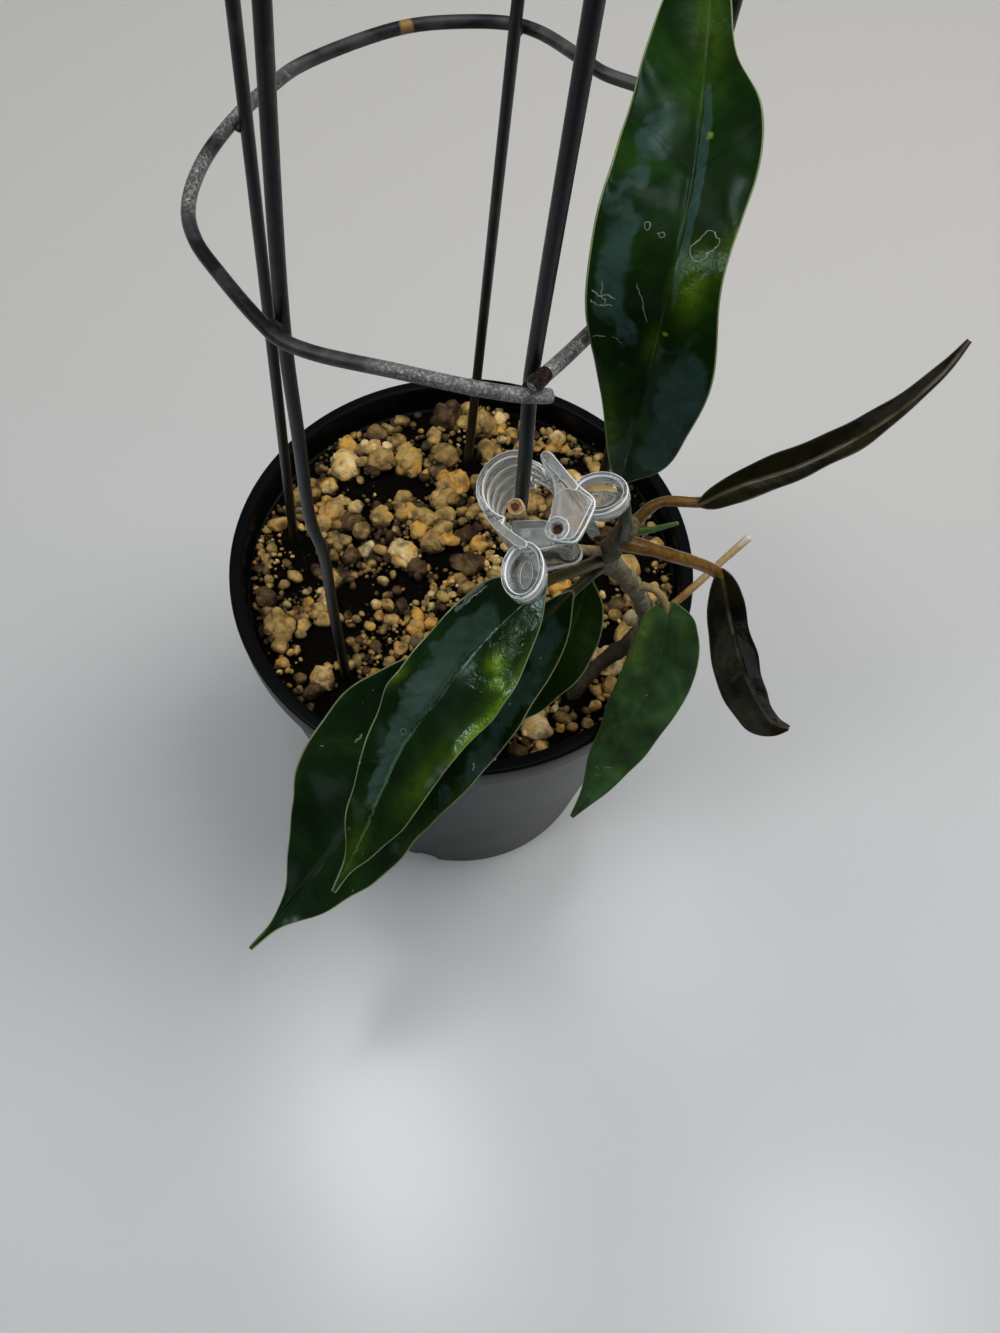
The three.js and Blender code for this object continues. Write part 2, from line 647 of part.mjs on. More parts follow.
function ribFaces() {
  const first = -CLIP.ribInset - CLIP.ribWidth;
  const last = -CLIP.length + CLIP.ribInset;
  const step = (last - first) / (CLIP.ribs - 1);
  return Array.from({ length: CLIP.ribs }, (_, i) => first + i * step);
}

function ribs(startDegrees, endDegrees) {
  const shape = arcShape(startDegrees, endDegrees);
  return ribFaces().map((from) => slab(shape, from, from + CLIP.ribWidth));
}

function ovalShape({ centre, length, width, turn }, inset = 0) {
  const shape = new THREE.Shape();
  shape.absellipse(...centre, length - inset, width - inset, 0, 2 * Math.PI, false, radians(turn));
  return shape;
}

// A finger tab: a shallow oval tray, open towards the near end of the pin
function fingerTab(tab) {
  const rim = ovalShape(tab);
  rim.holes.push(ovalShape(tab, CLIP.tabRim));
  return [
    slab(rim, CLIP.tabFar, CLIP.tabNear),
    slab(ovalShape(tab, CLIP.tabRim / 2), CLIP.tabFar, CLIP.tabFar + CLIP.tabFloor),
  ];
}

function knuckle(from, to) {
  return slab(circleShape(CLIP.knuckleRadius, 12), from, to);
}

function pinBore() {
  return toSolid(slab(circleShape(CLIP.pinHole, 10), -CLIP.length - 1, 1));
}

// The moving jaw's two arms lie just inside the fixed jaw's plates
const movingNear = -CLIP.plate - CLIP.sideGap;
const movingFar = -CLIP.length - movingNear;

function movingJaw() {
  const arm = polygon(MOVING_JAW.arm);
  const pieces = [
    ...ribs(CLIP.meetingAngle + CLIP.meetingGap / 2, MOVING_JAW.ringEnd),
    slab(polygon(MOVING_JAW.spine), -CLIP.length + CLIP.ribInset, -CLIP.ribInset),
    slab(arm, movingNear - MOVING_JAW.plate, movingNear),
    slab(arm, movingFar, movingFar + MOVING_JAW.plate),
    slab(polygon(MOVING_JAW.bar), movingFar, movingNear),
    knuckle(movingNear - MOVING_JAW.plate, movingNear),
    knuckle(movingFar, movingFar + MOVING_JAW.plate),
    ...fingerTab(CLIP_TABS.moving),
  ];
  return joined(pieces).subtract(pinBore());
}

function fixedJaw() {
  const plate = polygon(FIXED_JAW.plate);
  const far = -CLIP.length + FIXED_JAW.wallInset;
  const near = -FIXED_JAW.wallInset;
  const pieces = [
    ...ribs(FIXED_JAW.ringStart, CLIP.meetingAngle - CLIP.meetingGap / 2),
    slab(plate, -CLIP.plate, 0),
    slab(plate, -CLIP.length, -CLIP.length + CLIP.plate),
    slab(polygon(FIXED_JAW.wall), far, near),
    slab(polygon(FIXED_JAW.web), far, near),
    ...fingerTab(CLIP_TABS.fixed),
  ];
  return joined(pieces).subtract(pinBore());
}

function springGeometry() {
  const steps = SPRING.turns * SPRING.stepsPerTurn;
  const points = Array.from({ length: steps + 1 }, (_, i) => {
    const angle = (2 * Math.PI * i) / SPRING.stepsPerTurn;
    const z = THREE.MathUtils.lerp(SPRING.near, SPRING.far, i / steps);
    return [SPRING.radius * Math.cos(angle), SPRING.radius * Math.sin(angle), z];
  });
  return wireAlong(points, SPRING.wire, steps, 4);
}

function buildClip() {
  addPart('clip_jaw_moving', toGeometry(movingJaw()), 'clip', clip);
  addPart('clip_jaw_fixed', toGeometry(fixedJaw()), 'clip', clip);
  const pin = slab(circleShape(CLIP.pinRadius, 12), -CLIP.length + CLIP.pinInset, -CLIP.pinInset);
  addPart('clip_pin', pin, 'steel', clip);
  addPart('clip_spring', springGeometry(), 'steel', clip);
}

// The dry stick rises through the clip's ring beside the wire and ends in a ragged cut
function dryStick() {
  const [x, y] = DRY_STICK.place;
  const inClip = (z) => new THREE.Vector3(x, y, z).applyMatrix4(clipMatrix).toArray();
  const path = [...DRY_STICK.along.map(inClip), DRY_STICK.root];
  const radii = path.map((_, i) => (i === 0 ? DRY_STICK.cutRadius : DRY_STICK.radius));
  const stick = taperedTube(path, radii, 7, 18);
  return toSolid(stick).subtract(stemSeat);
}

// ---------------------------------------------------------------- potting mix

function soilHeight(x, y) {
  const roll = Math.sin(0.11 * x + 1.3) * Math.cos(0.13 * y - 0.4) + 0.5 * Math.sin(0.23 * x - 0.19 * y);
  return SOIL.level + SOIL.unevenness * roll;
}

function soilBody() {
  const floorTop = POT.floorHeight + POT.floorThickness + GAP;
  const wallAt = (z) => potWallRadius(z) - POT.wall - GAP;
  const edge = SOIL.level - 1.5;
  const profile = [
    [0, POT.hubFloor + GAP], [POT.hubRadius - 2.2, POT.hubFloor + GAP], [POT.hubRadius - 0.6, floorTop],
    [wallAt(floorTop) - 0.3, floorTop], [wallAt(edge) - 0.1, edge],
    [53.5, SOIL.level], [40, SOIL.level], [26, SOIL.level], [12, SOIL.level], [0, SOIL.level],
  ];
  const geometry = turnedUpright(profile, POT.segments / 2);
  const position = geometry.attributes.position;
  for (let i = 0; i < position.count; i += 1) {
    if (position.getZ(i) > edge + 0.1) position.setZ(i, soilHeight(position.getX(i), position.getY(i)));
  }
  return toSolid(geometry);
}

function gritPlaces() {
  const random = seededRandom(SOIL.seed);
  const standing = [...UPRIGHTS.map(onSoil), STEM.path[1]];
  const places = [];
  for (let i = 0; i < GRIT.tries && places.length < GRIT.count; i += 1) {
    const angle = 2 * Math.PI * random();
    const size = THREE.MathUtils.lerp(GRIT.smallest, GRIT.largest, random() ** 1.6);
    const reach = (GRIT.reach - GRIT.swell * size) * Math.sqrt(random());
    const place = { x: reach * Math.cos(angle), y: reach * Math.sin(angle), size };
    const apart = places.every((other) => (
      Math.hypot(place.x - other.x, place.y - other.y) > GRIT.crowding * (size + other.size)
    ));
    const clear = standing.every(([x, y]) => Math.hypot(place.x - x, place.y - y) > size + GRIT.clearance);
    if (apart && clear) places.push({ ...place, turn: [random(), random(), random()] });
  }
  return places;
}

function onSoil(upright) {
  if (upright.bends.length === 0) return onUpright(upright, SOIL.level).slice(0, 2);
  return upright.bends.at(-1).slice(0, 2);
}

// An angular stone: a few-faced ball, flattened, turned and sunk to its middle
function gritStone({ x, y, size, turn }) {
  const [a, b, c] = turn;
  return new THREE.OctahedronGeometry(GRIT.swell * size, 0)
    .rotateX(6 * a)
    .rotateZ(6 * b)
    .scale(1, 0.78 + 0.3 * a, 0.72 + 0.25 * c)
    .rotateZ(6 * c)
    .translate(x, y, soilHeight(x, y));
}

function buildSoil() {
  let soil = soilBody();
  for (const place of gritPlaces()) soil = soil.add(toSolid(gritStone(place)));
  for (const upright of UPRIGHTS) {
    const hole = uprightPath(upright, CAGE.rootDepth - GAP).slice(-2);
    if (upright.bends.length > 0) hole[0][2] = SOIL.level + 8;
    soil = soil.subtract(toSolid(standingWire(hole, WIRE_RADIUS + GAP)));
  }
  soil = soil.subtract(toSolid(stemGeometry(GAP)));
  addPart('potting_mix', toGeometry(soil), 'soil');
}

buildPot();
buildSoil();
buildCage();
buildPlant();
addPart('dry_stick', toGeometry(dryStick()), 'stalk');
buildClip();

export default object;
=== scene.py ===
"""The looks of a young hoya in a nursery pot, with a wire cage and a clear sprung clip.

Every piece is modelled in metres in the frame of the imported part, and rides on one of its bodies.
Sizes in the classes below are millimetres, as a maker would measure them.
"""

import logging
import math
import random
from collections.abc import Iterable, Iterator, Sequence
from contextlib import contextmanager
from dataclasses import dataclass
from enum import Enum
from functools import cached_property

import bpy
import numpy as np
from mathutils import Matrix, Vector


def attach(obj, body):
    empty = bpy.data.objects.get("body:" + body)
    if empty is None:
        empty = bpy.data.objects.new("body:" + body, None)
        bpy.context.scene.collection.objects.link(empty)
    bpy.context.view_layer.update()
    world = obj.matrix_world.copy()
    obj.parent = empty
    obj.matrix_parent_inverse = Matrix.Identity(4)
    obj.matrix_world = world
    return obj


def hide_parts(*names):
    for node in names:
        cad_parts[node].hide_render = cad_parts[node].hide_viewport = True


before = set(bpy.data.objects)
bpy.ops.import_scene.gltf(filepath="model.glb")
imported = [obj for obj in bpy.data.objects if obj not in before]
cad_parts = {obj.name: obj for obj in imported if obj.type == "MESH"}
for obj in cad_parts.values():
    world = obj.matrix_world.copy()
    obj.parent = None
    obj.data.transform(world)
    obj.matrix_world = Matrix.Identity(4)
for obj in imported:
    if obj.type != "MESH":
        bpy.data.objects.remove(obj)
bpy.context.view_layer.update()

log = logging.getLogger("hoya")

MM = 0.001
FULL_TURN = 2 * math.pi
SAME_PLACE = 0.002 * MM
SWELLS = 9
UV_MAP = "UVMap"
Point = tuple[float, float, float]
Colour = tuple[float, float, float]
Flat = tuple[float, float]
Tone = tuple[float, Colour]
Solid = tuple[np.ndarray, list[tuple[int, ...]]]
Socket = bpy.types.NodeSocket
Piece = bpy.types.Object
Material = bpy.types.Material


class Body(str, Enum):
    """The two bodies of the part."""

    PLANT = "potted_plant"
    JAW = "clip_moving_jaw"


class Slot(str, Enum):
    """The finishes that the part's record names."""

    POT = "pot_plastic"
    MIX = "potting_mix"
    WIRE = "cage_wire"
    BARK = "bark"
    LEAF = "leaf"
    YOUNG = "young_leaf"
    STALK = "dry_stalk"
    SPROUT = "sprout"
    CLIP = "clip_plastic"
    STEEL = "steel"


class Boolean(str, Enum):
    """How one solid is worked into another."""

    UNITE = "UNION"
    CUT = "DIFFERENCE"


# ---------------------------------------------------------------- curves and lists of sizes


def catmull_rom(
    points: np.ndarray, closed: bool, steps: int = 24
) -> tuple[np.ndarray, np.ndarray]:
    """Walks a centripetal curve through the given points.

    Args:
        points: The points, one row each.
        closed: Whether the curve returns to its first point.
        steps: How many places to work out between two points.

    Returns:
        The dense points, and for each its place counted in given points.
    """
    if closed:
        padded = np.vstack([points[-1], points, points[0], points[1]])
    else:
        padded = np.vstack([2 * points[0] - points[1], points, 2 * points[-1] - points[-2]])
    dense, places = [], []
    for i in range(len(padded) - 3):
        a, b, c, d = padded[i : i + 4]
        gaps = (b - a, c - b, d - c)
        spans = [math.sqrt(max(float(np.linalg.norm(gap)), 1e-9)) for gap in gaps]
        t0, t1, t2, t3 = 0.0, spans[0], spans[0] + spans[1], sum(spans)
        t = np.linspace(t1, t2, steps, endpoint=False)[:, None]
        ab = (t1 - t) / (t1 - t0) * a + (t - t0) / (t1 - t0) * b
        bc = (t2 - t) / (t2 - t1) * b + (t - t1) / (t2 - t1) * c
        cd = (t3 - t) / (t3 - t2) * c + (t - t2) / (t3 - t2) * d
        abc = (t2 - t) / (t2 - t0) * ab + (t - t0) / (t2 - t0) * bc
        bcd = (t3 - t) / (t3 - t1) * bc + (t - t1) / (t3 - t1) * cd
        dense.append((t2 - t) / (t2 - t1) * abc + (t - t1) / (t2 - t1) * bcd)
        places.append(i + np.linspace(0, 1, steps, endpoint=False))
    dense.append(padded[-2][None, :])
    places.append(np.array([len(padded) - 3.0]))
    return np.vstack(dense), np.concatenate(places)


def evenly(
    points: Sequence[Point], count: int, values: Sequence[float] = (), closed: bool = False
) -> tuple[np.ndarray, np.ndarray]:
    """Spaces points evenly along the curve through the given ones.

    Args:
        points: The points of the curve.
        count: How many points to return.
        values: One number for each given point, such as a radius, or none.
        closed: Whether the curve returns to its first point.

    Returns:
        The even points, and the values there.
    """
    dense, places = catmull_rom(np.array(points, float), closed)
    runs = np.concatenate([[0], np.cumsum(np.linalg.norm(np.diff(dense, axis=0), axis=1))])
    wanted = np.linspace(0, runs[-1], count, endpoint=not closed)
    even = np.column_stack([np.interp(wanted, runs, dense[:, k]) for k in range(3)])
    if len(values) == 0:
        return even, np.zeros(count)
    return even, np.interp(np.interp(wanted, runs, places), np.arange(len(values)), values)


def eased(values: Sequence[float], t: np.ndarray) -> np.ndarray:
    """Reads a list of evenly spaced sizes with a smooth curve between them.

    Args:
        values: The sizes from t = 0 to t = 1.
        t: Where to read them.

    Returns:
        The size at each t.
    """
    sizes = np.asarray(values, float)
    slopes = np.gradient(sizes)
    x = np.clip(t, 0, 1) * (len(sizes) - 1)
    i = np.minimum(x.astype(int), len(sizes) - 2)
    f = x - i
    start = (1 + 2 * f) * (1 - f) ** 2 * sizes[i] + f * (1 - f) ** 2 * slopes[i]
    return start + f**2 * (3 - 2 * f) * sizes[i + 1] + f**2 * (f - 1) * slopes[i + 1]


def unit(vectors: np.ndarray) -> np.ndarray:
    """Scales each row to length 1."""
    return vectors / np.maximum(np.linalg.norm(vectors, axis=-1, keepdims=True), 1e-12)


def ripple(points: np.ndarray, wavelength: float, seed: int) -> np.ndarray:
    """Gives a smooth irregular height between about -1 and 1 at each point.

    Args:
        points: The points, one row each.
        wavelength: The rough size of a swell, in the points' own unit.
        seed: Which pattern to give.

    Returns:
        One height for each point.
    """
    rng = np.random.default_rng(seed)
    height = np.zeros(len(points))
    for _ in range(SWELLS):
        direction = unit(rng.normal(size=points.shape[1]))
        pitch = wavelength * rng.uniform(0.6, 1.7)
        height += np.sin(points @ direction * FULL_TURN / pitch + rng.uniform(0, FULL_TURN))
    return height / (SWELLS / 2)


def on_circle(radius: float, angles: Sequence[float], centre: Flat = (0.0, 0.0)) -> list[Flat]:
    """Lists the points of a circle at the given angles."""
    x, y = centre
    return [(x + radius * math.cos(a), y + radius * math.sin(a)) for a in angles]


# ---------------------------------------------------------------- bench work


class Bench:
    """What a maker does at the bench: pick up, shape, finish and hand over a piece."""

    @staticmethod
    def clear() -> None:
        """Puts everything down."""
        if bpy.context.object and bpy.context.object.mode != "OBJECT":
            bpy.ops.object.mode_set(mode="OBJECT")
        bpy.ops.object.select_all(action="DESELECT")

    @staticmethod
    def pick(*pieces: Piece) -> None:
        """Selects only these pieces and makes the first one active.

        Args:
            pieces: What to pick up.
        """
        Bench.clear()
        for piece in pieces:
            piece.select_set(True)
        bpy.context.view_layer.objects.active = pieces[0]

    @staticmethod
    def linked(name: str, data: bpy.types.ID) -> Piece:
        """Puts a new object into the scene.

        Args:
            name: The object's name.
            data: Its mesh, lamp or camera.

        Returns:
            The object.
        """
        made = bpy.data.objects.new(name, data)
        bpy.context.scene.collection.objects.link(made)
        return made

    @staticmethod
    def settle(piece: Piece) -> None:
        """Works a piece's place, turn and scale into its mesh."""
        Bench.pick(piece)
        bpy.ops.object.transform_apply(location=True, rotation=True, scale=True)

    @staticmethod
    @contextmanager
    def editing(piece: Piece) -> Iterator[None]:
        """Opens a piece's mesh with all of it selected, and closes it afterwards.

        Args:
            piece: The piece to open.
        """
        Bench.pick(piece)
        bpy.ops.object.mode_set(mode="EDIT")
        bpy.ops.mesh.select_all(action="SELECT")
        yield
        bpy.ops.object.mode_set(mode="OBJECT")

    @staticmethod
    def modify(piece: Piece, kind: str, **settings: object) -> None:
        """Gives a piece one modifier and applies it.

        Args:
            piece: The piece to change.
            kind: The modifier's type.
            settings: The modifier's settings by name.
        """
        Bench.pick(piece)
        modifier = piece.modifiers.new(kind.lower(), kind)
        for name, value in settings.items():
            setattr(modifier, name, value)
        bpy.ops.object.modifier_apply(modifier=modifier.name)

    @staticmethod
    def combine(piece: Piece, tool: Piece, how: Boolean) -> None:
        """Works a second solid into a piece and clears it away."""
        Bench.modify(piece, "BOOLEAN", operation=how.value, object=tool, solver="EXACT")
        bpy.data.objects.remove(tool)

    @staticmethod
    def tidy(piece: Piece) -> None:
        """Merges doubled points and turns the faces outwards.

        Args:
            piece: The piece to tidy.
        """
        with Bench.editing(piece):
            bpy.ops.mesh.remove_doubles(threshold=SAME_PLACE)
            bpy.ops.mesh.normals_make_consistent(inside=False)

    @staticmethod
    def smooth(piece: Piece, degrees: float = 180) -> None:
        """Shades a piece smooth across edges flatter than an angle.

        Args:
            piece: The piece to shade.
            degrees: Edges sharper than this stay sharp.
        """
        Bench.pick(piece)
        if degrees >= 180:
            bpy.ops.object.shade_smooth()
        else:
            bpy.ops.object.shade_smooth_by_angle(angle=math.radians(degrees))

    @staticmethod
    def points(piece: Piece) -> np.ndarray:
        """Reads a mesh's points, one row each.

        Args:
            piece: The piece to measure.

        Returns:
            Its points in metres.
        """
        co = np.empty(len(piece.data.vertices) * 3)
        piece.data.vertices.foreach_get("co", co)
        return co.reshape(-1, 3)

    @staticmethod
    def place(piece: Piece, points: np.ndarray) -> None:
        """Moves a mesh's points to the given rows."""
        piece.data.vertices.foreach_set("co", points.ravel())
        piece.data.update()

    @staticmethod
    def mark(piece: Piece, name: str, values: np.ndarray) -> None:
        """Stores one number for each point, for a material to read."""
        attribute = piece.data.attributes.new(name, "FLOAT", "POINT")
        attribute.data.foreach_set("value", values.astype(np.float32))

    @staticmethod
    def join(pieces: Sequence[Piece]) -> Piece:
        """Joins pieces into the first one.

        Args:
            pieces: The pieces to join.

        Returns:
            The joined piece.
        """
        Bench.pick(*pieces)
        bpy.ops.object.join()
        return pieces[0]

    @staticmethod
    def tube(
        path: np.ndarray,
        radii: np.ndarray,
        sides: int = 20,
        closed: bool = False,
        dome: float = 0.7,
    ) -> Piece:
        """Draws a round tube whose radius may change along its path.

        Args:
            path: Points along the middle, in millimetres.
            radii: The radius at each point, in millimetres.
            sides: How many sides the tube has.
            closed: Whether the tube is a ring.
            dome: How far its rounded ends stand out, as a share of the radius.

        Returns:
            The tube as a mesh piece.
        """
        if not closed:
            path, radii = Bench._domed(path, radii, dome)
        Bench.clear()
        bpy.ops.curve.primitive_nurbs_path_add()
        piece = bpy.context.object
        curve = piece.data
        curve.splines.clear()
        spline = curve.splines.new("POLY")
        spline.points.add(len(path) - 1)
        spline.points.foreach_set("co", np.column_stack([path * MM, np.ones(len(path))]).ravel())
        spline.points.foreach_set("radius", radii)
        spline.use_cyclic_u = closed
        curve.dimensions = "3D"
        curve.bevel_depth = MM
        curve.bevel_resolution = (sides - 4) // 2
        curve.use_fill_caps = not closed
        Bench.pick(piece)
        bpy.ops.object.convert(target="MESH")
        Bench.tidy(piece)
        Bench.smooth(piece, 50)
        return piece

    @staticmethod
    def _domed(
        path: np.ndarray, radii: np.ndarray, dome: float
    ) -> tuple[np.ndarray, np.ndarray]:
        """Rounds both ends of a tube's path off.

        Args:
            path: Points along the middle.
            radii: The radius at each point.
            dome: How far an end stands out, as a share of its radius.

        Returns:
            The longer path and its radii.
        """
        angles = np.radians([80.0, 60, 40, 20])
        back = angles[::-1]
        head, tail = unit(path[0] - path[1]), unit(path[-1] - path[-2])
        before = path[0] + np.sin(angles)[:, None] * head * radii[0] * dome
        after = path[-1] + np.sin(back)[:, None] * tail * radii[-1] * dome
        sizes = np.concatenate([np.cos(angles) * radii[0], radii, np.cos(back) * radii[-1]])
        return np.vstack([before, path, after]), sizes

    @staticmethod
    def hand_over(
        piece: Piece,
        name: str,
        slot: Slot,
        materials: Sequence[Material],
        nodes: Sequence[str],
        body: Body = Body.PLANT,
    ) -> None:
        """Names and dresses a piece and lets it ride on its body.

        Args:
            piece: The finished piece.
            name: Its plain name.
            slot: The record's finish that it stands for; not used.
            materials: Its materials in slot order, or none when it has them already.
            nodes: The solids that it stands for.
            body: The body that it rides on.
        """
        Bench.settle(piece)
        piece.name = name
        piece.data.name = name
        if materials:
            piece.data.materials.clear()
            for material in materials:
                piece.data.materials.append(material)
        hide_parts(*nodes)
        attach(piece, body.value)
        log.info("%s: %d faces on %s", name, len(piece.data.polygons), body.value)


# ---------------------------------------------------------------- finishes


class Sketch:
    """Short hand for wiring the nodes of one material, or of the world."""

    def __init__(self, name: str, world: bpy.types.World | None = None) -> None:
        """Starts a material, or takes up the world.

        Args:
            name: The material's name.
            world: The world, when it is the one to wire.
        """
        self.owner = world or bpy.data.materials.new(name)
        self.owner.use_nodes = True
        self.tree = self.owner.node_tree
        self.coordinates = self.node("ShaderNodeTexCoord").outputs
        self.object_place = self.coordinates["Object"]

    @cached_property
    def level(self) -> Socket:
        """Gives the height on the piece, in metres."""
        return self.split(self.object_place)["Z"]

    def node(
        self, kind: str, feeds: dict[str | int, object] | None = None, **settings: object
    ) -> bpy.types.Node:
        """Adds a node.

        Args:
            kind: The node's type.
            feeds: What goes into its inputs, by name or number.
            settings: Its settings by name.

        Returns:
            The node.
        """
        made = self.tree.nodes.new(kind)
        for name, value in settings.items():
            setattr(made, name, value)
        for name, value in (feeds or {}).items():
            self.feed(made.inputs[name], value)
        return made

    def feed(self, socket: Socket, value: object) -> None:
        """Links a socket to another, or sets its value.

        Args:
            socket: The input to feed.
            value: An output socket, a number or a colour.
        """
        if isinstance(value, Socket):
            self.tree.links.new(value, socket)
        elif isinstance(value, tuple) and len(value) == 3 and len(socket.default_value) == 4:
            socket.default_value = (*value, 1.0)
        else:
            socket.default_value = value

    def split(self, vector: Socket) -> bpy.types.NodeOutputs:
        """Takes a vector apart into X, Y and Z."""
        return self.node("ShaderNodeSeparateXYZ", {0: vector}).outputs

    def stretched(self, scale: Point) -> Socket:
        """Gives the object's own coordinates, scaled along each axis."""
        feeds = {"Vector": self.object_place, "Scale": scale}
        return self.node("ShaderNodeMapping", feeds).outputs["Vector"]

    def uv(self) -> Socket:
        """Gives the piece's own UV map."""
        return self.node("ShaderNodeUVMap", uv_map=UV_MAP).outputs["UV"]

    def noise(
        self,
        size: float,
        detail: float = 3,
        rough: float = 0.55,
        place: Socket | None = None,
        distortion: float = 0,
    ) -> Socket:
        """Adds cloudy noise.

        Args:
            size: The size of its swells, in millimetres.
            detail: How many finer layers it has.
            rough: How strong the finer layers are.
            place: The coordinates to use in place of the object's.
            distortion: How far it is warped.

        Returns:
            The noise, from 0 to 1.
        """
        feeds = {
            "Vector": place or self.object_place, "Scale": 1 / (size * MM),
            "Detail": detail, "Roughness": rough, "Distortion": distortion,
        }
        return self.node("ShaderNodeTexNoise", feeds).outputs["Fac"]

    def shaken(self, scale: float, reach: float) -> Socket:
        """Gives small random shifts across the UV map's plane.

        Args:
            scale: How fine the shifts are, as the noise node counts it.
            reach: The whole width of the shifts.

        Returns:
            The shift at each place.
        """
        feeds = {"Vector": self.object_place, "Scale": scale}
        random_way = self.node("ShaderNodeTexNoise", feeds).outputs["Color"]
        centred = self.vectors("SUBTRACT", random_way, (0.5, 0.5, 0.5))
        return self.vectors("MULTIPLY", centred, (reach, reach, 0))

    def cells(self, size: float) -> Socket:
        """Gives the distance to scattered points, whose mean distance is the size."""
        feeds = {"Vector": self.object_place, "Scale": 1 / (size * MM)}
        return self.node("ShaderNodeTexVoronoi", feeds).outputs["Distance"]

    def marked(self, name: str) -> Socket:
        """Gives a number that was stored on the mesh."""
        return self.node("ShaderNodeAttribute", attribute_name=name).outputs["Fac"]

    def maths(self, operation: str, a: object, b: object = 0.0) -> Socket:
        """Works out one sum, named as Blender names it."""
        return self.node("ShaderNodeMath", {0: a, 1: b}, operation=operation).outputs[0]

    def times(self, a: object, b: object) -> Socket:
        """Multiplies two numbers."""
        return self.maths("MULTIPLY", a, b)

    def plus(self, a: object, b: object) -> Socket:
        """Adds two numbers."""
        return self.maths("ADD", a, b)

    def minus(self, a: object, b: object) -> Socket:
        """Takes the second number from the first."""
        return self.maths("SUBTRACT", a, b)

    def vectors(self, operation: str, a: object, b: object = (0, 0, 0)) -> Socket:
        """Does a sum on vectors.

        Args:
            operation: Which sum, as Blender names it.
            a: The first vector.
            b: The second.

        Returns:
            The outcome: a number for lengths and dot products, else a vector.
        """
        feeds = {0: a} if operation == "LENGTH" else {0: a, 1: b}
        output = "Value" if operation in ("LENGTH", "DOT_PRODUCT") else "Vector"
        return self.node("ShaderNodeVectorMath", feeds, operation=operation).outputs[output]

    def distance(self, a: object, b: object) -> Socket:
        """Gives the distance between two places."""
        return self.vectors("LENGTH", self.vectors("SUBTRACT", a, b))

    def band(
        self, value: Socket, low: float, high: float, to_low: float = 0, to_high: float = 1
    ) -> Socket:
        """Maps a range of a value to another range with soft ends.

        Args:
            value: The value to map.
            low: Where the range starts.
            high: Where the range ends.
            to_low: What it gives at the start.
            to_high: What it gives at the end.

        Returns:
            The mapped value.
        """
        feeds = {
            "Value": value, "From Min": low, "From Max": high, "To Min": to_low, "To Max": to_high,
        }
        made = self.node("ShaderNodeMapRange", feeds, interpolation_type="SMOOTHSTEP")
        return made.outputs["Result"]

    def ramp(self, factor: Socket, *stops: Tone) -> Socket:
        """Colours a value.

        Args:
            factor: The value, from 0 to 1.
            stops: Places and their colours, in order.

        Returns:
            The colour.
        """
        made = self.node("ShaderNodeValToRGB", {"Fac": factor})
        line = made.color_ramp.elements
        while len(line) < len(stops):
            line.new(0.5)
        for element, (position, colour) in zip(line, stops):
            element.position = position
            element.color = (*colour, 1)
        return made.outputs["Color"]

    def blend(self, factor: object, a: object, b: object) -> Socket:
        """Mixes the second colour into the first."""
        return self.node("ShaderNodeMix", {0: factor, 6: a, 7: b}, data_type="RGBA").outputs[2]

    def relief(self, height: Socket, depth: float, under: Socket | None = None) -> Socket:
        """Turns a height into a bumpy normal.

        Args:
            height: The height, from 0 to 1.
            depth: How high 1 is, in millimetres.
            under: A normal to add to.

        Returns:
            The normal.
        """
        feeds = {"Distance": depth * MM, "Height": height}
        if under is not None:
            feeds["Normal"] = under
        return self.node("ShaderNodeBump", feeds).outputs["Normal"]

    def finish(self, **sockets: object) -> Material:
        """Feeds the shader and gives the material.

        Args:
            sockets: The shader's inputs by name, with _ for a space.

        Returns:
            The material.
        """
        shader = self.tree.nodes["Principled BSDF"]
        for name, value in sockets.items():
            self.feed(shader.inputs[name.replace("_", " ")], value)
        return self.owner


def from_midrib(s: Sketch) -> Socket:
    """Gives the distance from the midrib in millimetres."""
    return s.times(s.maths("ABSOLUTE", s.split(s.uv())["X"]), 10)


def veins(s: Sketch, spacing: float, slant: float) -> Socket:
    """Draws the side veins of a blade from its UV map, which is in centimetres.

    Args:
        s: The sketch to draw in.
        spacing: How far apart the veins leave the midrib, in millimetres.
        slant: How far they run towards the tip for each millimetre outwards.

    Returns:
        1 on a vein, 0 between the veins.
    """
    along = s.times(s.split(s.uv())["Y"], 10)
    run = s.minus(along, s.times(from_midrib(s), slant))
    bent = s.plus(run, s.times(s.noise(9, 2), 4))
    turn = s.maths("FRACT", s.maths("DIVIDE", bent, spacing))
    away = s.times(s.maths("ABSOLUTE", s.minus(turn, 0.5)), spacing)
    faded = s.band(s.noise(14, 2), 0.4, 0.6)
    return s.times(s.band(away, 0.9, 0.05), faded)


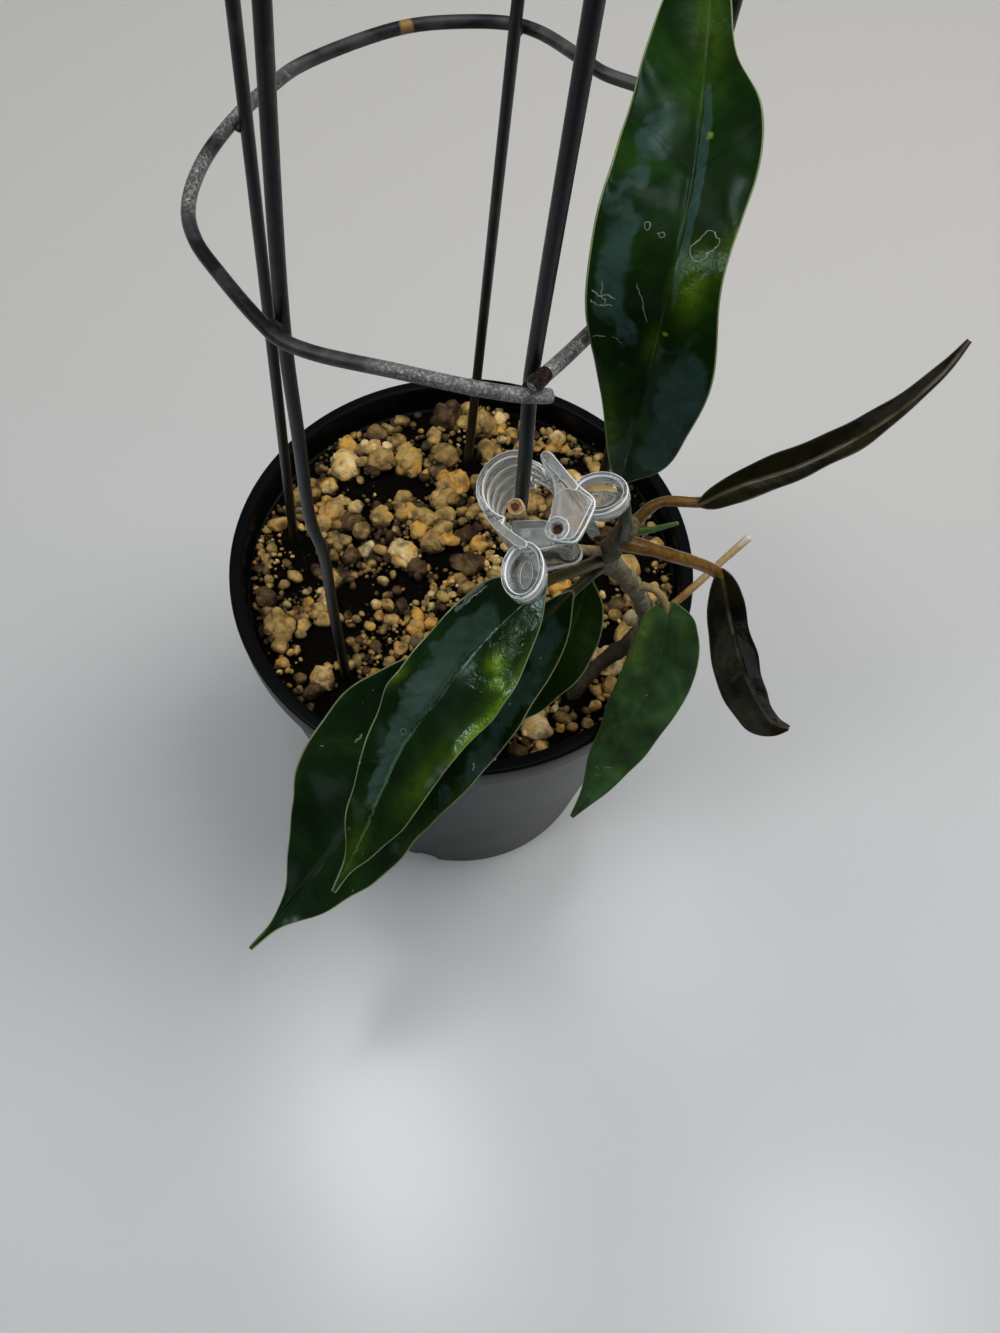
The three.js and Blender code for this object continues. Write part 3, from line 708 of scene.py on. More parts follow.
@dataclass(frozen=True)
class Mark:
    """A scratch, ring or spot on a blade, in millimetres across and along it.

    Without an end it is round: a spot, or a ring of the given radius.
    """
    start: Flat
    end: Flat = (0.0, 0.0)
    wide: float = 0.1
    ring: float = 0.0
    strength: float = 0.6
    colour: Colour = (0.34, 0.40, 0.31)

    def draw(self, s: Sketch, place: Socket) -> Socket:
        """Draws the mark.

        Args:
            s: The sketch to draw in.
            place: Where on the blade, in millimetres.

        Returns:
            How strongly the mark shows.
        """
        start = tuple(Vector((*self.start, 0)))
        if self.end == (0.0, 0.0):
            away = s.distance(place, start)
        else:
            run = Vector((*self.end, 0)) - Vector(start)
            offset = s.vectors("SUBTRACT", place, start)
            share = s.maths(
                "DIVIDE", s.vectors("DOT_PRODUCT", offset, tuple(run)), run.length_squared
            )
            share = s.maths("MINIMUM", s.maths("MAXIMUM", share, 0.0), 1.0)
            feeds = {0: tuple(run), "Scale": share}
            along = s.node("ShaderNodeVectorMath", feeds, operation="SCALE").outputs[0]
            away = s.distance(offset, along)
        gap = s.maths("ABSOLUTE", s.minus(away, self.ring))
        return s.band(gap, self.wide, self.wide * 0.35, 0, self.strength)


@dataclass(frozen=True)
class WaxyLeaf:
    """A grown blade: very dark glossy green, with blue-grey patches of waxy film and painted
    reflection, yellow-green places and a few marks.
    """

    name: str = "waxy_leaf"
    deep: Colour = (0.0026, 0.0078, 0.0016)
    middle: Colour = (0.0052, 0.0168, 0.0026)
    fresh: Colour = (0.0125, 0.040, 0.0050)
    pale: Colour = (0.13, 0.25, 0.010)
    # The blue-grey of a waxy film with a painted reflection on it.
    wax_and_reflection: Colour = (0.024, 0.052, 0.043)
    margin: Colour = (0.21, 0.25, 0.11)
    rib: Colour = (0.07, 0.10, 0.035)
    dust: Colour = (0.5, 0.52, 0.45)
    sheen: Colour = (0.76, 1.0, 0.90)
    gloss: float = 0.16
    veined: float = 0.2
    clouds: float = 12.0
    spread: float = 0.22
    shine: float = 0.5
    vein_spacing: float = 12.5
    vein_slant: float = 0.9
    marks: tuple[Mark, ...] = ()

    def build(self) -> Material:
        """Wires the upper face of a blade."""
        s = Sketch(self.name)
        cloud = s.noise(self.clouds, 4, 0.6, distortion=0.4)
        flesh = s.ramp(
            cloud, (0.52 - self.spread, self.deep), (0.52, self.middle),
            (0.54 + self.spread, self.fresh),
        )
        streaks = s.noise(4.5, 2, 0.5, distortion=0.3)
        # Blue-grey patches marked on the blade: partly a waxy film, partly a painted reflection of
        # the bright room.
        edge = s.plus(s.marked("bloom"), s.band(streaks, 0.3, 0.7, -0.14, 0.14))
        haze_and_sheen = s.times(s.band(edge, 0.24, 0.42), s.band(s.noise(2.6, 5, 0.7), 0.3, 0.7, 0.5, 1.0))
        flesh = s.blend(haze_and_sheen, flesh, self.wax_and_reflection)
        # Yellow-green places: the blade's own colour, and along the margins also a painted glow of
        # light shining through the thin blade.
        mottle = s.noise(2.4, 4, 0.65)
        wet = s.times(s.marked("pale"), s.band(mottle, 0.28, 0.62, 0.4, 1.0))
        flesh = s.blend(wet, flesh, self.pale)
        sunken = veins(s, self.vein_spacing, self.vein_slant)
        flesh = s.blend(s.times(sunken, self.veined), flesh, self.deep)
        faint = s.band(s.noise(9, 3), 0.4, 0.62, 0.0, 0.35)
        flesh = s.blend(s.times(s.band(from_midrib(s), 0.25, 0.08), faint), flesh, self.rib)
        flesh = s.blend(s.band(s.marked("margin_mm"), 0.30, 0.08, 0, 0.9), flesh, self.margin)
        specks = s.times(s.band(s.cells(3.6), 0.055, 0.03), s.band(s.noise(13, 2), 0.54, 0.62))
        flesh = s.blend(s.times(specks, 0.7), flesh, self.dust)
        place = s.vectors("ADD", s.vectors("MULTIPLY", s.uv(), (10, 10, 0)), s.shaken(600, 1.6))
        for mark in self.marks:
            flesh = s.blend(mark.draw(s, place), flesh, mark.colour)
        rough = s.band(s.noise(8, 4, 0.7), 0.35, 0.75, self.gloss * 0.8, self.gloss * 1.4)
        swell = s.relief(s.noise(9, 2, 0.5), 0.16)
        furrow = s.relief(s.minus(1.0, sunken), 0.06 * self.veined, swell)
        rucks = s.noise(2.2, 3, 0.6, distortion=0.8)
        folds = s.maths("MAXIMUM", s.times(s.marked("pale"), 0.45), s.marked("crumple"))
        wrinkled = s.relief(s.times(folds, rucks), 1.5, furrow)
        grain = s.relief(s.noise(1.3, 3, 0.6), 0.014, wrinkled)
        return s.finish(
            Base_Color=flesh, Roughness=rough, Normal=grain,
            Specular_IOR_Level=self.shine, Specular_Tint=self.sheen,
        )


UPRIGHT_MARKS = (
    Mark((3.0, 44.2), (4.0, 45.8), ring=1.2, wide=0.1, strength=0.5),
    Mark((-10.6, 36.6), (-7.5, 36.0), 0.12, strength=0.65),
    Mark((-10.5, 35.2), (-7.6, 34.8), 0.1, strength=0.5),
    Mark((-9.6, 37.6), (-8.6, 34.6), 0.08, strength=0.4),
    Mark((-4.9, 38.3), (-1.9, 33.2), 0.1, strength=0.4),
    Mark((-4.9, 46.3), ring=0.5, wide=0.09, strength=0.5),
    Mark((-3.0, 45.5), ring=0.45, wide=0.08, strength=0.4),
    Mark((-6.8, 30.5), (-4.8, 29.6), 0.08, strength=0.35),
    Mark((-9.2, 30.2), (-7.6, 30.4), 0.08, strength=0.4),
    Mark((0.9, 32.0), wide=0.55, strength=0.5, colour=(0.30, 0.38, 0.03)),
    Mark((1.6, 60.5), wide=0.7, strength=0.45, colour=(0.24, 0.34, 0.03)),
)
UPPER_MARKS = (
    Mark((2.4, 69.8), wide=0.9, strength=0.75, colour=(0.10, 0.035, 0.01)),
    Mark((3.2, 66.0), wide=0.5, strength=0.6, colour=(0.12, 0.06, 0.012)),
    Mark((7.9, 8.6), (7.6, 15.5), 0.45, strength=0.55, colour=(0.20, 0.27, 0.20)),
    Mark((7.3, 8.2), (7.1, 13.5), 0.16, strength=0.7, colour=(0.42, 0.48, 0.38)),
    Mark((1.6, 40.6), ring=0.6, wide=0.1, strength=0.35),
    Mark((6.5, 49.8), (7.0, 51.5), 0.35, strength=0.8),
    Mark((0.1, 40.0), (0.05, 72.0), 0.34, strength=0.35, colour=(0.10, 0.17, 0.09)),
    Mark((0.0, 14.0), (0.1, 40.0), 0.22, strength=0.8, colour=(0.002, 0.006, 0.002)),
)
LOWER_MARKS = (
    Mark((-11.8, 41.0), (-12.4, 42.0), 0.22, strength=0.8),
    Mark((-7.8, 25.5), wide=0.2, strength=0.7),
    Mark((-9.4, 29.5), wide=0.16, strength=0.6),
    Mark((-5.2, 14.2), wide=0.16, strength=0.6),
    Mark((9.6, 54.0), (9.9, 56.2), 0.3, strength=0.5),
    Mark((14.6, 60.3), (15.5, 60.9), 0.12, strength=0.5),
)
HANGING_MARKS = (
    Mark((-1.2, 41.5), (0.6, 42.3), 0.14, strength=0.5),
    Mark((1.2, 43.6), (2.4, 43.0), 0.12, strength=0.45),
    Mark((0.4, 44.6), (1.3, 45.4), 0.1, strength=0.4),
    Mark((2.4, 30.6), (3.2, 31.6), 0.1, strength=0.3),
)


@dataclass(frozen=True)
class PlainFlesh:
    """A plain plant skin in two tones: leaf backs, rims, stalks and shoots.

    Each of the higher tones takes over between two heights in metres.
    """

    name: str
    dark: Colour
    light: Colour
    size: float = 3
    roughness: float = 0.45
    relief: float = 0.05
    higher: tuple[tuple[float, float, Colour], ...] = ()

    def build(self) -> Material:
        """Wires the skin."""
        s = Sketch(self.name)
        cloud = s.noise(self.size, 5, 0.65, distortion=0.3)
        streak = s.noise(0.8, 3, 0.6, s.stretched((1, 1, 0.22)))
        mixed = s.plus(s.times(cloud, 0.6), s.times(streak, 0.4))
        colour = s.ramp(mixed, (0.33, self.dark), (0.68, self.light))
        for low, high, tone in self.higher:
            colour = s.blend(s.band(s.level, low, high, 0, 0.85), colour, tone)
        dull, matt = self.roughness * 0.75, min(1.0, self.roughness * 1.25)
        return s.finish(
            Base_Color=colour, Roughness=s.band(cloud, 0.3, 0.7, dull, matt),
            Normal=s.relief(streak, self.relief),
        )


@dataclass(frozen=True)
class YoungLeaf:
    """A young blade: nearly black brown, glossy, with a paler line along the midrib."""

    name: str = "young_leaf"
    deep: Colour = (0.0016, 0.0013, 0.0006)
    warm: Colour = (0.0125, 0.0104, 0.0024)
    line: Colour = (0.085, 0.072, 0.050)
    margin: Colour = (0.05, 0.05, 0.04)

    def build(self) -> Material:
        """Wires the upper face of a young blade."""
        s = Sketch(self.name)
        flesh = s.ramp(s.noise(7, 4), (0.35, self.deep), (0.66, self.warm))
        broken = s.band(s.noise(5, 2), 0.35, 0.6, 0.15, 0.8)
        flesh = s.blend(s.times(s.band(from_midrib(s), 0.55, 0.1), broken), flesh, self.line)
        flesh = s.blend(s.band(s.marked("margin_mm"), 0.25, 0.05, 0, 0.3), flesh, self.margin)
        rough = s.band(s.noise(5, 3), 0.35, 0.7, 0.12, 0.22)
        swell = s.relief(s.noise(3.4, 3, 0.55), 0.2)
        return s.finish(Base_Color=flesh, Roughness=rough, Specular_IOR_Level=0.4, Normal=swell)


@dataclass(frozen=True)
class Bark:
    """Grey-olive corky bark with lighter cork and dark cracks, darker low down and dark higher up.
    """

    name: str = "corky_bark"
    dark: Colour = (0.040, 0.034, 0.018)
    olive: Colour = (0.21, 0.18, 0.105)
    cork: Colour = (0.42, 0.37, 0.25)
    dark_tone: Colour = (0.020, 0.014, 0.007)
    dark_tone_from: Flat = (0.134, 0.126)
    young: Colour = (0.030, 0.030, 0.012)
    young_from: Flat = (0.176, 0.188)

    def build(self) -> Material:
        """Wires the bark."""
        s = Sketch(self.name)
        cloud = s.noise(2.6, 6, 0.7, distortion=0.5)
        flakes = s.noise(0.9, 4, 0.7, s.stretched((1, 1, 0.45)))
        colour = s.ramp(cloud, (0.32, self.dark), (0.5, self.olive), (0.7, self.cork))
        colour = s.blend(s.band(flakes, 0.45, 0.3, 0, 0.8), colour, self.dark)
        # Darker towards the bottom of the stem.
        colour = s.blend(s.band(s.level, *self.dark_tone_from, 0, 0.9), colour, self.dark_tone)
        colour = s.blend(s.band(s.level, *self.young_from, 0, 0.55), colour, self.young)
        rough = s.band(cloud, 0.3, 0.7, 0.75, 0.95)
        cracks = s.relief(flakes, 0.35, s.relief(cloud, 0.4))
        return s.finish(Base_Color=colour, Roughness=rough, Normal=cracks)


@dataclass(frozen=True)
class GritStone:
    """Ochre, tan and cream stones, each in its own tone, stained in their pits, and darkened low
    down by soil stain and painted shade.
    """

    name: str = "grit_stone"
    # Near black: stain in the pits, and soil stain with painted shade low down.
    soot_and_shade: Colour = (0.010, 0.006, 0.003)
    mud: Colour = (0.065, 0.036, 0.013)
    stain_and_shade_from: Flat = (0.1165, 0.1135)
    tones: tuple[Tone, ...] = (
        (0.0, (0.008, 0.005, 0.003)), (0.14, (0.035, 0.018, 0.007)),
        (0.28, (0.12, 0.072, 0.026)), (0.42, (0.30, 0.185, 0.055)),
        (0.56, (0.43, 0.29, 0.095)), (0.70, (0.56, 0.27, 0.035)),
        (0.84, (0.62, 0.43, 0.17)), (1.0, (0.72, 0.56, 0.31)),
    )

    def build(self) -> Material:
        """Wires the stones."""
        s = Sketch(self.name)
        tone = s.plus(s.marked("tone"), s.band(s.noise(3.0, 3), 0.3, 0.7, -0.1, 0.1))
        stone = s.ramp(tone, *self.tones)
        muddy = s.band(s.noise(3.4, 4, 0.62, distortion=0.4), 0.42, 0.72, 0, 0.8)
        stone = s.blend(muddy, stone, self.mud)
        pits = s.band(s.noise(0.9, 4, 0.7), 0.36, 0.26)
        stone = s.blend(s.times(pits, 0.8), stone, self.soot_and_shade)
        # Darker low down on each stone, where the stones meet: soil stain and painted shade.
        wobble = s.plus(s.level, s.band(s.noise(4, 2), 0.3, 0.7, -0.0012, 0.0012))
        stone = s.blend(s.band(wobble, *self.stain_and_shade_from, 0, 0.93), stone, self.soot_and_shade)
        rough = s.band(s.noise(2, 3), 0.3, 0.7, 0.5, 0.92)
        coarse = s.relief(s.noise(1.6, 3, 0.6), 0.5, s.relief(s.noise(0.6, 4, 0.7), 0.14))
        return s.finish(Base_Color=stone, Roughness=rough, Normal=coarse)


@dataclass(frozen=True)
class DarkMix:
    """Damp, nearly black bark dust between the stones."""

    name: str = "dark_mix"
    tones: tuple[Tone, ...] = (
        (0.4, (0.0012, 0.0009, 0.0007)), (0.60, (0.0045, 0.003, 0.0018)),
        (0.74, (0.05, 0.032, 0.016)),
    )

    def build(self) -> Material:
        """Wires the dust."""
        s = Sketch(self.name)
        crumbs = s.noise(0.9, 6, 0.8)
        return s.finish(
            Base_Color=s.ramp(crumbs, *self.tones), Specular_IOR_Level=0.1,
            Roughness=s.band(s.noise(7, 3), 0.4, 0.65, 0.6, 0.95), Normal=s.relief(crumbs, 0.9),
        )


@dataclass(frozen=True)
class MouldedPlastic:
    """Black moulded pot plastic with a few specks, greyed up its wall by dust and a painted
    reflection.
    """

    name: str = "moulded_plastic"
    black: Colour = (0.0030, 0.0032, 0.0036)
    # Grey of dust and of a painted reflection of the pale table.
    dust_and_sheen: Colour = (0.056, 0.063, 0.067)
    speck: Colour = (0.4, 0.38, 0.35)
    foot_shade_to_sheen: Flat = (0.034, 0.096)
    band_from: Flat = (0.1135, 0.1125)

    def build(self) -> Material:
        """Wires the plastic."""
        s = Sketch(self.name)
        cloud = s.noise(45, 3, 0.5)
        # The grey grows in from 34 mm up, so the wall darkens towards the foot: painted shade low
        # down, dust and painted reflection higher up.
        wall = s.times(s.band(s.level, *self.foot_shade_to_sheen), s.band(s.level, *self.band_from))
        haze_and_sheen = s.times(wall, s.band(cloud, 0.3, 0.8, 0.5, 0.9))
        colour = s.blend(haze_and_sheen, self.black, self.dust_and_sheen)
        specks = s.times(s.band(s.cells(8), 0.05, 0.02), s.band(s.noise(31, 2), 0.54, 0.64))
        colour = s.blend(s.times(specks, 0.7), colour, self.speck)
        rough = s.band(cloud, 0.35, 0.75, 0.32, 0.36)
        return s.finish(Base_Color=colour, Roughness=rough, Specular_IOR_Level=0.07)


@dataclass(frozen=True)
class CageWire:
    """Black drawn wire, rubbed to dull grey where it was handled.

    Each spot is a place in millimetres and its reach: the spots are rubbed bright, and the fleck
    is a bit of stuck bark.
    """

    name: str
    wear: float
    spots: tuple[tuple[Point, float], ...] = ()
    fleck: tuple[Point, float] = ((0.0, 0.0, 0.0), 0.1)
    black: Colour = (0.0062, 0.0068, 0.0082)
    grey: Colour = (0.070, 0.070, 0.070)
    silver: Colour = (0.42, 0.42, 0.40)
    rust: Colour = (0.05, 0.03, 0.02)
    tan: Colour = (0.30, 0.17, 0.06)

    def build(self) -> Material:
        """Wires the coating."""
        s = Sketch(self.name)
        patch = s.noise(13, 4, 0.6, distortion=0.5)
        flecks = s.noise(1.1, 4, 0.7)
        handled, scraped = 0.45 * self.wear, 0.22 * self.wear
        colour = s.blend(s.band(patch, 0.7 - handled, 0.95 - handled), self.black, self.grey)
        bare = s.times(s.band(patch, 0.75 - scraped, 0.9 - scraped), s.band(flecks, 0.5, 0.64))
        colour = s.blend(s.times(bare, 0.8), colour, self.silver)
        colour = s.blend(s.band(s.noise(5, 4, 0.7), 0.7, 0.8, 0, 0.5), colour, self.rust)
        scoured = s.noise(0.5, 5, 0.75, distortion=0.5)
        for spot, reach in self.spots:
            near = self.near(s, spot, reach, 0.5)
            rubbed = s.times(near, s.band(scoured, 0.48, 0.62, 0.12, 0.85))
            colour = s.blend(rubbed, colour, self.silver)
        stuck = s.times(self.near(s, *self.fleck, 0.7), 0.9)
        colour = s.blend(stuck, colour, self.tan)
        rough = s.band(flecks, 0.3, 0.7, 0.28, 0.45)
        drawn = s.relief(s.noise(1.6, 3, 0.6, s.stretched((1, 1, 0.15))), 0.04)
        return s.finish(
            Base_Color=colour, Roughness=rough, Metallic=0.15,
            Normal=s.relief(scoured, 0.05, drawn),
        )

    @staticmethod
    def near(s: Sketch, spot: Point, reach: float, full: float) -> Socket:
        """Gives 1 in a spot's middle, falling to 0 at its reach."""
        away = s.distance(s.object_place, tuple(k * MM for k in spot))
        return s.band(away, reach * MM, reach * full * MM)


@dataclass(frozen=True)
class WeldScar:
    """A burnt, rusty and partly bright weld."""

    name: str = "weld_scar"
    tones: tuple[Tone, ...] = (
        (0.35, (0.008, 0.007, 0.008)), (0.5, (0.05, 0.025, 0.018)),
        (0.62, (0.10, 0.095, 0.10)), (0.75, (0.35, 0.35, 0.36)),
    )

    def build(self) -> Material:
        """Wires the weld."""
        s = Sketch(self.name)
        burn = s.noise(0.8, 5, 0.75, distortion=1.0)
        return s.finish(
            Base_Color=s.ramp(burn, *self.tones), Roughness=s.band(burn, 0.3, 0.7, 0.5, 0.2),
            Metallic=0.7, Normal=s.relief(burn, 0.5),
        )


@dataclass(frozen=True)
class ClearPlastic:
    """Moulded plastic: clear on its flat faces, near white along its edges, partly milky and partly
    a painted highlight.
    """

    name: str
    milk: float
    roughness: float
    tones: tuple[Tone, ...] = ((0.3, (0.93, 0.96, 0.955)), (0.7, (0.985, 0.995, 0.99)))

    def build(self) -> Material:
        """Wires the plastic."""
        s = Sketch(self.name)
        flow = s.noise(4.5, 3, 0.6, distortion=0.8)
        return s.finish(
            Base_Color=s.ramp(flow, *self.tones),
            Roughness=s.band(flow, 0.35, 0.7, self.roughness * 0.7, self.roughness * 1.3),
            Transmission_Weight=1 - self.milk, IOR=1.47,
            Normal=s.relief(s.noise(2.4, 2, 0.5), 0.02),
        )


@dataclass(frozen=True)
class CutWood:
    """The cut end of a dry stick: pale rings round a dark pith."""

    name: str = "cut_wood"
    stain: Colour = (0.12, 0.05, 0.03)
    rings: tuple[Tone, ...] = (
        (0.0, (0.16, 0.06, 0.03)), (0.2, (0.03, 0.010, 0.006)), (0.5, (0.07, 0.022, 0.012)),
        (0.62, (0.46, 0.27, 0.11)), (0.78, (0.20, 0.09, 0.04)), (0.95, (0.56, 0.40, 0.19)),
    )

    def build(self) -> Material:
        """Wires the cut."""
        s = Sketch(self.name)
        grain = s.noise(0.7, 4, 0.7)
        reach = s.plus(s.marked("from_pith"), s.band(grain, 0.3, 0.7, -0.16, 0.16))
        ring = s.ramp(reach, *self.rings)
        return s.finish(
            Base_Color=s.blend(s.band(grain, 0.5, 0.7, 0, 0.4), ring, self.stain),
            Roughness=s.band(grain, 0.3, 0.7, 0.6, 0.85), Normal=s.relief(grain, 0.15),
        )


@dataclass(frozen=True)
class SpringSteel:
    """Bright or rust-stained steel."""

    name: str
    bright: Colour
    stained: Colour
    stain: float

    def build(self) -> Material:
        """Wires the steel."""
        s = Sketch(self.name)
        rust = s.noise(0.7, 5, 0.7)
        clean = 0.5 * self.stain
        spread = s.band(rust, 0.75 - clean, 0.9 - clean)
        return s.finish(
            Base_Color=s.blend(spread, self.bright, self.stained), Metallic=0.85,
            Roughness=s.band(rust, 0.3, 0.7, 0.22, 0.5), Normal=s.relief(rust, 0.05),
        )


@dataclass(frozen=True)
class Tabletop:
    """A plain pale tabletop with a soft sheen."""

    name: str = "tabletop"
    tones: tuple[Tone, ...] = ((0.3, (0.482, 0.490, 0.502)), (0.7, (0.504, 0.510, 0.520)))
    warm: Colour = (0.505, 0.488, 0.468)
    warm_from: Flat = (-0.1, 0.3)

    def build(self) -> Material:
        """Wires the tabletop."""
        s = Sketch(self.name)
        cloud = s.noise(160, 3)
        back = s.band(s.split(s.object_place)["Y"], *self.warm_from)
        return s.finish(
            Base_Color=s.blend(back, s.ramp(cloud, *self.tones), self.warm),
            Roughness=s.band(cloud, 0.3, 0.7, 0.16, 0.20), Normal=s.relief(s.noise(1.5, 2), 0.002),
        )


# ---------------------------------------------------------------- pot, mix and stones


POT_BASE = 45.0
POT_SHOULDER = 57.8
POT_BAND = 113.0
POT_WALL = 1.4
SOIL_LEVEL = 114.0


def wall_radius(z: float) -> float:
    """Gives the outer radius of the pot's wall at a height."""
    return POT_BASE + (POT_SHOULDER - POT_BASE) * z / POT_BAND


def soil_height(x: np.ndarray, y: np.ndarray) -> np.ndarray:
    """Gives the rolling surface of the mix."""
    roll = np.sin(0.11 * x + 1.3) * np.cos(0.13 * y - 0.4) + 0.5 * np.sin(0.23 * x - 0.19 * y)
    return SOIL_LEVEL + 0.8 * roll


def rounded(profile: Sequence[Flat], radius: float) -> list[Flat]:
    """Rounds the corners of an open profile.

    Args:
        profile: The corners in order.
        radius: How far from a corner the rounding may start.

    Returns:
        The profile with three points at each corner.
    """
    line: list[Flat] = [profile[0]]
    for before, here, after in zip(profile, profile[1:], profile[2:]):
        a, b, c = Vector(before), Vector(here), Vector(after)
        back, ahead = (a - b), (c - b)
        start = b + back.normalized() * min(radius, back.length * 0.4)
        end = b + ahead.normalized() * min(radius, ahead.length * 0.4)
        middle = start * 0.25 + b * 0.5 + end * 0.25
        line += [tuple(start), tuple(middle), tuple(end)]
    line.append(profile[-1])
    return line


def spun(name: str, profile: Sequence[Flat], steps: int) -> Piece:
    """Turns a profile round the upright axis.

    Args:
        name: The piece's name.
        profile: Radius and height of each point, in millimetres.
        steps: How many steps make the round.

    Returns:
        The turned piece, closed and facing outwards.
    """
    mesh = bpy.data.meshes.new(name)
    edges = [(i, i + 1) for i in range(len(profile) - 1)]
    mesh.from_pydata([(r * MM, 0.0, z * MM) for r, z in profile], edges, [])
    piece = Bench.linked(name, mesh)
    with Bench.editing(piece):
        bpy.ops.mesh.spin(steps=steps, angle=FULL_TURN, center=(0, 0, 0), axis=(0, 0, 1))
    Bench.tidy(piece)
    return piece


@dataclass
class NurseryPot:
    """The black tapered pot with its rim band, arched foot and drain holes."""

    height: float = 122.0
    rim_radius: float = 60.0
    rim_width: float = 3.5
    rim_edge: float = 0.6
    hub_radius: float = 14.0
    slope: float = 1.6
    floor_height: float = 6.0
    floor_thickness: float = 1.5
    foot_width: float = 4.0
    arch_width: float = 7.3
    arch_height: float = 5.6
    arch_depth: float = 8.0
    arches: int = 4
    first_arch: float = -1.737
    drain_radius: float = 3.2
    drain_ring: float = 27.0
    drains: int = 8
    corner: float = 0.45
    steps: int = 144

    def profile(self) -> list[Flat]:
        """Draws the section of the wall, from under the hub round the rim to its inside."""
        top = self.floor_height + self.floor_thickness
        foot = POT_BASE - self.foot_width
        mouth = self.rim_radius - self.rim_width
        return [
            (0, 0), (self.hub_radius, 0), (self.hub_radius + self.slope, self.floor_height),
            (foot, self.floor_height), (foot + 1, 0), (POT_BASE, 0),
            (POT_SHOULDER, POT_BAND), (self.rim_radius - 0.3, POT_BAND + self.rim_edge),
            (self.rim_radius, self.height - self.rim_edge),
            (self.rim_radius - self.rim_edge, self.height),
            (mouth + 0.5, self.height), (mouth, self.height - self.rim_edge),
            (POT_SHOULDER - POT_WALL, POT_BAND - 1), (wall_radius(top) - POT_WALL, top),
            (self.hub_radius, top), (self.hub_radius - self.slope, self.slope), (0, self.slope),
        ]

    def arch_cutter(self, angle: float) -> Piece:
        """Makes the round-topped block that cuts one arch into the foot.

        Args:
            angle: Where the arch stands round the pot, in radians.

        Returns:
            The block.
        """
        Bench.clear()
        radius = self.arch_width / 2 * MM
        rise = self.arch_height * MM - radius
        depth = self.arch_depth * MM
        bpy.ops.mesh.primitive_cylinder_add(
            vertices=32, radius=radius, depth=depth, location=(0, 0, rise),
            rotation=(0, math.pi / 2, 0),
        )
        top = bpy.context.object
        bpy.ops.mesh.primitive_cube_add(size=1, location=(0, 0, (rise - MM) / 2))
        block = bpy.context.object
        block.scale = (depth, radius * 2, rise + MM)
        for piece in (top, block):
            Bench.settle(piece)
        Bench.combine(top, block, Boolean.UNITE)
        reach = (POT_BASE - self.foot_width / 2) * MM
        top.matrix_world = Matrix.Rotation(angle, 4, "Z") @ Matrix.Translation((reach, 0, 0))
        return top

    def build(self) -> None:
        """Spins, cuts and dresses the pot."""
        pot = spun("pot_wall", rounded(self.profile(), self.corner), self.steps)
        cutters = [
            self.arch_cutter(self.first_arch + FULL_TURN * i / self.arches)
            for i in range(self.arches)
        ]
        turns = [FULL_TURN * (i + 0.5) / self.drains for i in range(self.drains)]
        floor = self.floor_height * MM
        for x, y in on_circle(self.drain_ring * MM, turns):
            bpy.ops.mesh.primitive_cylinder_add(
                vertices=32, radius=self.drain_radius * MM, depth=floor, location=(x, y, floor)
            )
            cutters.append(bpy.context.object)
        for cutter in cutters:
            Bench.combine(pot, cutter, Boolean.CUT)
        Bench.smooth(pot, 32)
        Bench.hand_over(pot, "nursery_pot", Slot.POT, [MouldedPlastic().build()], ["pot"])


@dataclass
class StoneTemplate:
    """One worn stone: a ball with a few flats broken off it and lumps on its skin."""

    seed: int
    detail: int
    cuts: int
    lumps: float

    def shape(self) -> Solid:
        """Shapes the stone at the bench and measures it.

        Returns:
            Its points for a mean radius of 1, and its faces.
        """
        dice = random.Random(self.seed)
        Bench.clear()
        bpy.ops.mesh.primitive_ico_sphere_add(subdivisions=self.detail, radius=1)
        stone = bpy.context.object
        with Bench.editing(stone):
            for _ in range(self.cuts):
                way = Vector([dice.gauss(0, 1) for _ in range(3)]).normalized()
                place = way * dice.uniform(0.68, 0.88)
                bpy.ops.mesh.select_all(action="SELECT")
                bpy.ops.mesh.bisect(plane_co=place, plane_no=way, use_fill=True, clear_outer=True)
            bpy.ops.mesh.select_all(action="SELECT")
            bpy.ops.transform.resize(value=(1, dice.uniform(0.68, 0.98), dice.uniform(0.62, 0.9)))
        points = Bench.points(stone)
        rise = ripple(points, 1.25, self.seed) * self.lumps
        rise += ripple(points, 0.62, self.seed + 50) * self.lumps * 0.5
        points += unit(points) * rise[:, None]
        faces = [tuple(face.vertices) for face in stone.data.polygons]
        bpy.data.objects.remove(stone)
        return points / np.linalg.norm(points, axis=1).mean(), faces


@dataclass(frozen=True)
class Stone:
    """Where one stone lies, how big it is and what colour it leans to."""

    x: float
    y: float
    z: float
    size: float
    tone: float


@dataclass(frozen=True)
class Throw:
    """One handful of stones.

    The sizes are radii, the crowding is the least distance between two stones as a share of
    their sizes, and the lift is how high a middle lies over the mix as shares of its size.
    """

    count: int
    small: float
    large: float
    crowding: float
    lift: Flat
    tries: int


